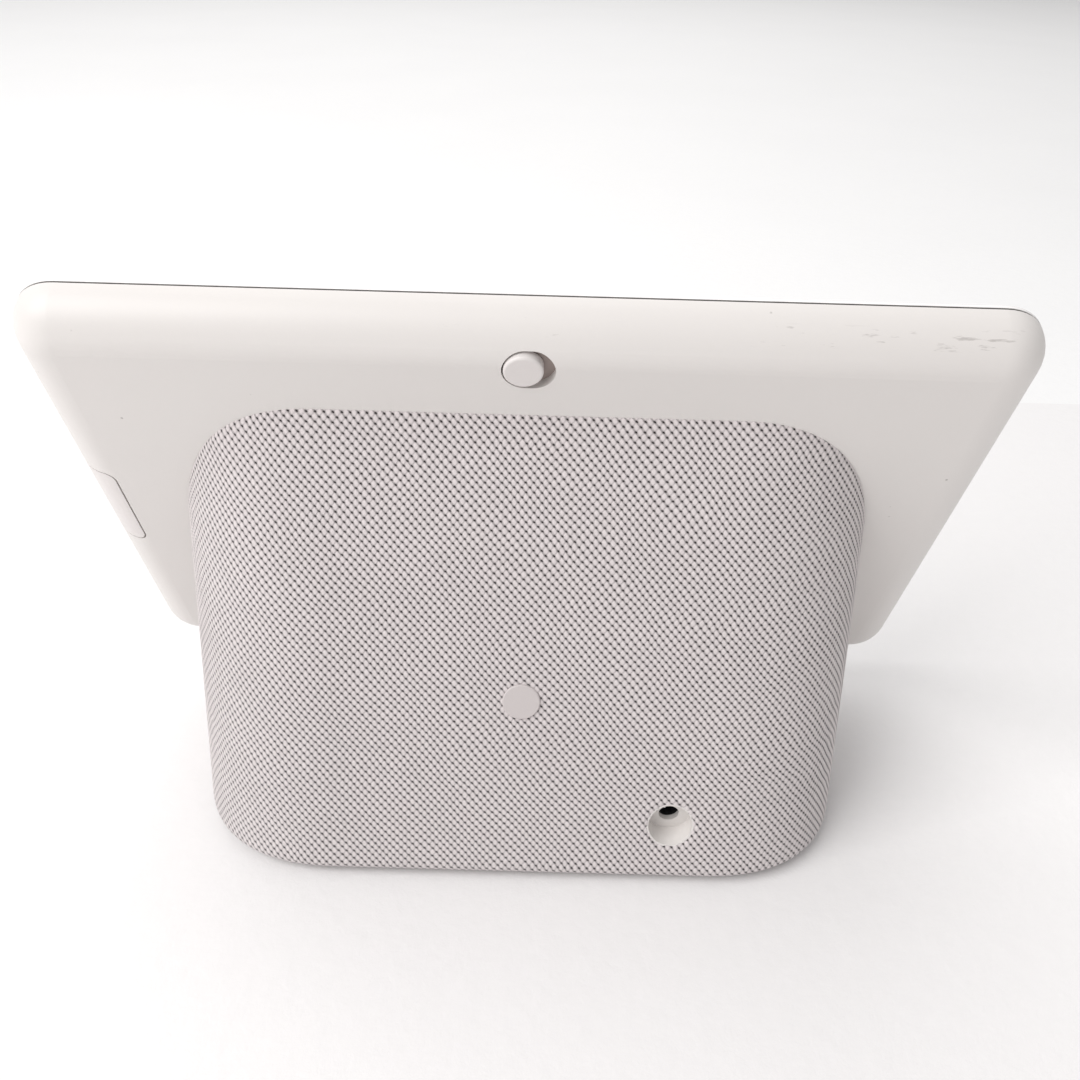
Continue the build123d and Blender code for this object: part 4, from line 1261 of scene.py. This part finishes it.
@dataclass
class Base:
    """Everything under the sleeve, the inlet, the badge and the foot."""

    shell: Colour = srgb(205, 201, 198)
    collar: Colour = srgb(222, 218, 215)
    badge: Colour = srgb(200, 193, 192)
    foot: Colour = srgb(188, 183, 181)

    def build(self) -> None:
        """Dress the base's pieces."""
        dress(MouldedPlastic("base_plastic", self.shell, 0.5), "base_shell", "base_plate")
        dress(MouldedPlastic("badge_plastic", self.badge, 0.42, 0.3, 0.004), "base_badge")
        dress(MouldedPlastic("collar_plastic", self.collar, 0.42, 0.3, 0.01), "port_collar")
        dress(Rubber("foot_rubber", self.foot, 0.75, 0.5, 0.03), "foot_pad")
        dress(Metal("screw_steel_base", (0.42, 0.42, 0.43), 0.28, EVEN, 0.25), "base_screws")
        dress(MouldedPlastic("black_plastic_base", (0.018, 0.018, 0.019), 0.42), "dc_jack")
        dress(Metal("pin_metal", (0.75, 0.7, 0.55), 0.22), "jack_pin")
        dress(CircuitBoard("board_green_power"), "power_board")
        dress(Rubber("lead_black", (0.02, 0.02, 0.02), 0.5, 0.2, 0.005), "speaker_cable")
        dress(Rubber("lead_black_b", (0.02, 0.02, 0.02), 0.5, 0.2, 0.005), "power_cable")


@dataclass
class Loudspeaker:
    """The driver and its box."""

    lean: float = math.radians(16.2)

    def build(self) -> None:
        """Dress the driver's pieces."""
        facing = (0.0, math.cos(self.lean), math.sin(self.lean))
        wire, between = (0.7, 0.3, 0.15), (0.25, 0.1, 0.05)
        dress(Rubber("gasket_foam", (0.04, 0.04, 0.04), 0.9, 0.4, 0.05), "speaker_gasket")
        box = MouldedPlastic("box_plastic", (0.02, 0.02, 0.021), 0.48)
        dress(box, "speaker_frame", "speaker_enclosure")
        dress(
            Metal("motor_steel", (0.5, 0.5, 0.52), 0.3, EVEN, 0.3),
            *("speaker_screws", "speaker_top_plate", "speaker_yoke"),
        )
        dress(Fibre("paper_cone", (0.045, 0.043, 0.042), 0.7), "speaker_cone")
        dress(Fibre("paper_cap", (0.04, 0.04, 0.04), 0.5), "dust_cap")
        dress(Ribbed("coil_copper", wire, between, facing, 0.25, 0.35, 1.0), "voice_coil")
        dress(Rubber("soft_rubber", (0.02, 0.02, 0.02), 0.55, 0.6, 0.01), "speaker_surround")
        dress(Fibre("woven_spider", (0.45, 0.25, 0.08), 0.6, True), "speaker_spider")
        dress(Rubber("ferrite", (0.06, 0.06, 0.062), 0.6, 0.25, 0.01), "speaker_magnet")


@dataclass(frozen=True)
class Lamp:
    """A soft square lamp that faces the object."""

    name: str
    at: Point
    size: float
    power: float
    colour: Colour = (1.0, 0.99, 0.985)
    aim: Point = (0.0, 0.0, 0.05)

    def hang(self) -> None:
        """Add the lamp to the scene."""
        data = bpy.data.lights.new(self.name, "AREA")
        data.size = self.size
        data.energy = self.power
        data.color = self.colour
        lamp = bpy.data.objects.new(self.name, data)
        lamp.location = self.at
        towards = Vector(self.aim) - Vector(self.at)
        lamp.rotation_euler = towards.to_track_quat("-Z", "Y").to_euler()
        bpy.context.scene.collection.objects.link(lamp)


@dataclass
class Studio:
    """Table, light and camera."""

    camera_at: Point = (-2.35, 164.41, 175.69)
    pitch_down: float = math.radians(34.182)
    turn: float = math.radians(-0.164)
    roll: float = math.radians(1.693)
    focal: float = 980.35
    image: float = 1080.0
    sensor: float = 36.0
    seen: Span = (0.01, 20.0)
    table_end: float = -205.0
    ground_level: float = -1.2
    ground_colour: Colour = (0.9, 0.9, 0.9)
    sky_colour: Colour = (1.0, 0.99, 0.988)
    sky_strength: float = 0.545
    lamps: tuple[Lamp, ...] = (
        Lamp("window", (0.7, 0.45, 0.9), 0.8, 10.6),
        Lamp("overhead", (0.3, -1.2, 1.5), 2.0, 16.5),
    )

    def build(self) -> None:
        """Make the table, the lamps, the sky and the camera."""
        self.table()
        for lamp in self.lamps:
            lamp.hang()
        self.sky()
        self.camera()
        bpy.context.scene.view_settings.view_transform = "Standard"

    def table(self) -> None:
        """Lay the tabletop and the ground beyond its far edge."""
        top = Tabletop("tabletop").material()
        ground = Tabletop("ground", self.ground_colour).material()
        far = 3 * FAR
        self.slab("table", self.table_end, far, 0.0, top)
        self.slab("ground", -far, self.table_end, self.ground_level, ground)

    @staticmethod
    def slab(name: str, start: float, end: float, level: float, look: bpy.types.Material) -> None:
        """Lay one wide level sheet.

        Args:
            name: the sheet's name.
            start: its near edge along y, in millimetres.
            end: its far edge along y.
            level: its height.
            look: its material.
        """
        wide = 3 * FAR
        plan = [(-wide, start), (wide, start), (wide, end), (-wide, end)]
        data = bpy.data.meshes.new(name)
        data.from_pydata([(x * MM, y * MM, level * MM) for x, y in plan], [], [(0, 1, 2, 3)])
        data.materials.append(look)
        piece = bpy.data.objects.new(name, data)
        bpy.context.scene.collection.objects.link(piece)

    def sky(self) -> None:
        """Fill the shadows with an even, pale sky."""
        sky = bpy.data.worlds.new("sky")
        sky.use_nodes = True
        inputs = sky.node_tree.nodes["Background"].inputs
        inputs["Color"].default_value = rgba(self.sky_colour)
        inputs["Strength"].default_value = self.sky_strength
        bpy.context.scene.world = sky

    def camera(self) -> None:
        """Place the camera behind and above the object."""
        cos_e, sin_e = math.cos(self.pitch_down), math.sin(self.pitch_down)
        cos_a, sin_a = math.cos(self.turn), math.sin(self.turn)
        ahead = Vector((sin_a * cos_e, -cos_a * cos_e, -sin_e))
        level = Vector((-cos_a, -sin_a, 0.0))
        upright = level.cross(ahead)
        right = math.cos(self.roll) * level + math.sin(self.roll) * upright
        above = -math.sin(self.roll) * level + math.cos(self.roll) * upright
        data = bpy.data.cameras.new("camera")
        data.sensor_width = self.sensor
        data.lens = self.focal / self.image * self.sensor
        data.clip_start, data.clip_end = self.seen
        camera = bpy.data.objects.new("camera", data)
        turn = Matrix((right, above, -ahead)).transposed().to_4x4()
        camera.matrix_world = Matrix.Translation(Vector(self.camera_at) * MM) @ turn
        bpy.context.scene.collection.objects.link(camera)
        bpy.context.scene.camera = camera


def main() -> None:
    """Build every sub-assembly, in order, and report its pieces."""
    logging.basicConfig(level=logging.INFO, format="%(name)s: %(message)s")
    Head().build()
    sleeve = Sleeve().build()
    LOG.info("%s has %d faces", sleeve.name, len(sleeve.data.polygons))
    Base().build()
    Loudspeaker().build()
    Studio().build()


if __name__ == "__main__":
    main()
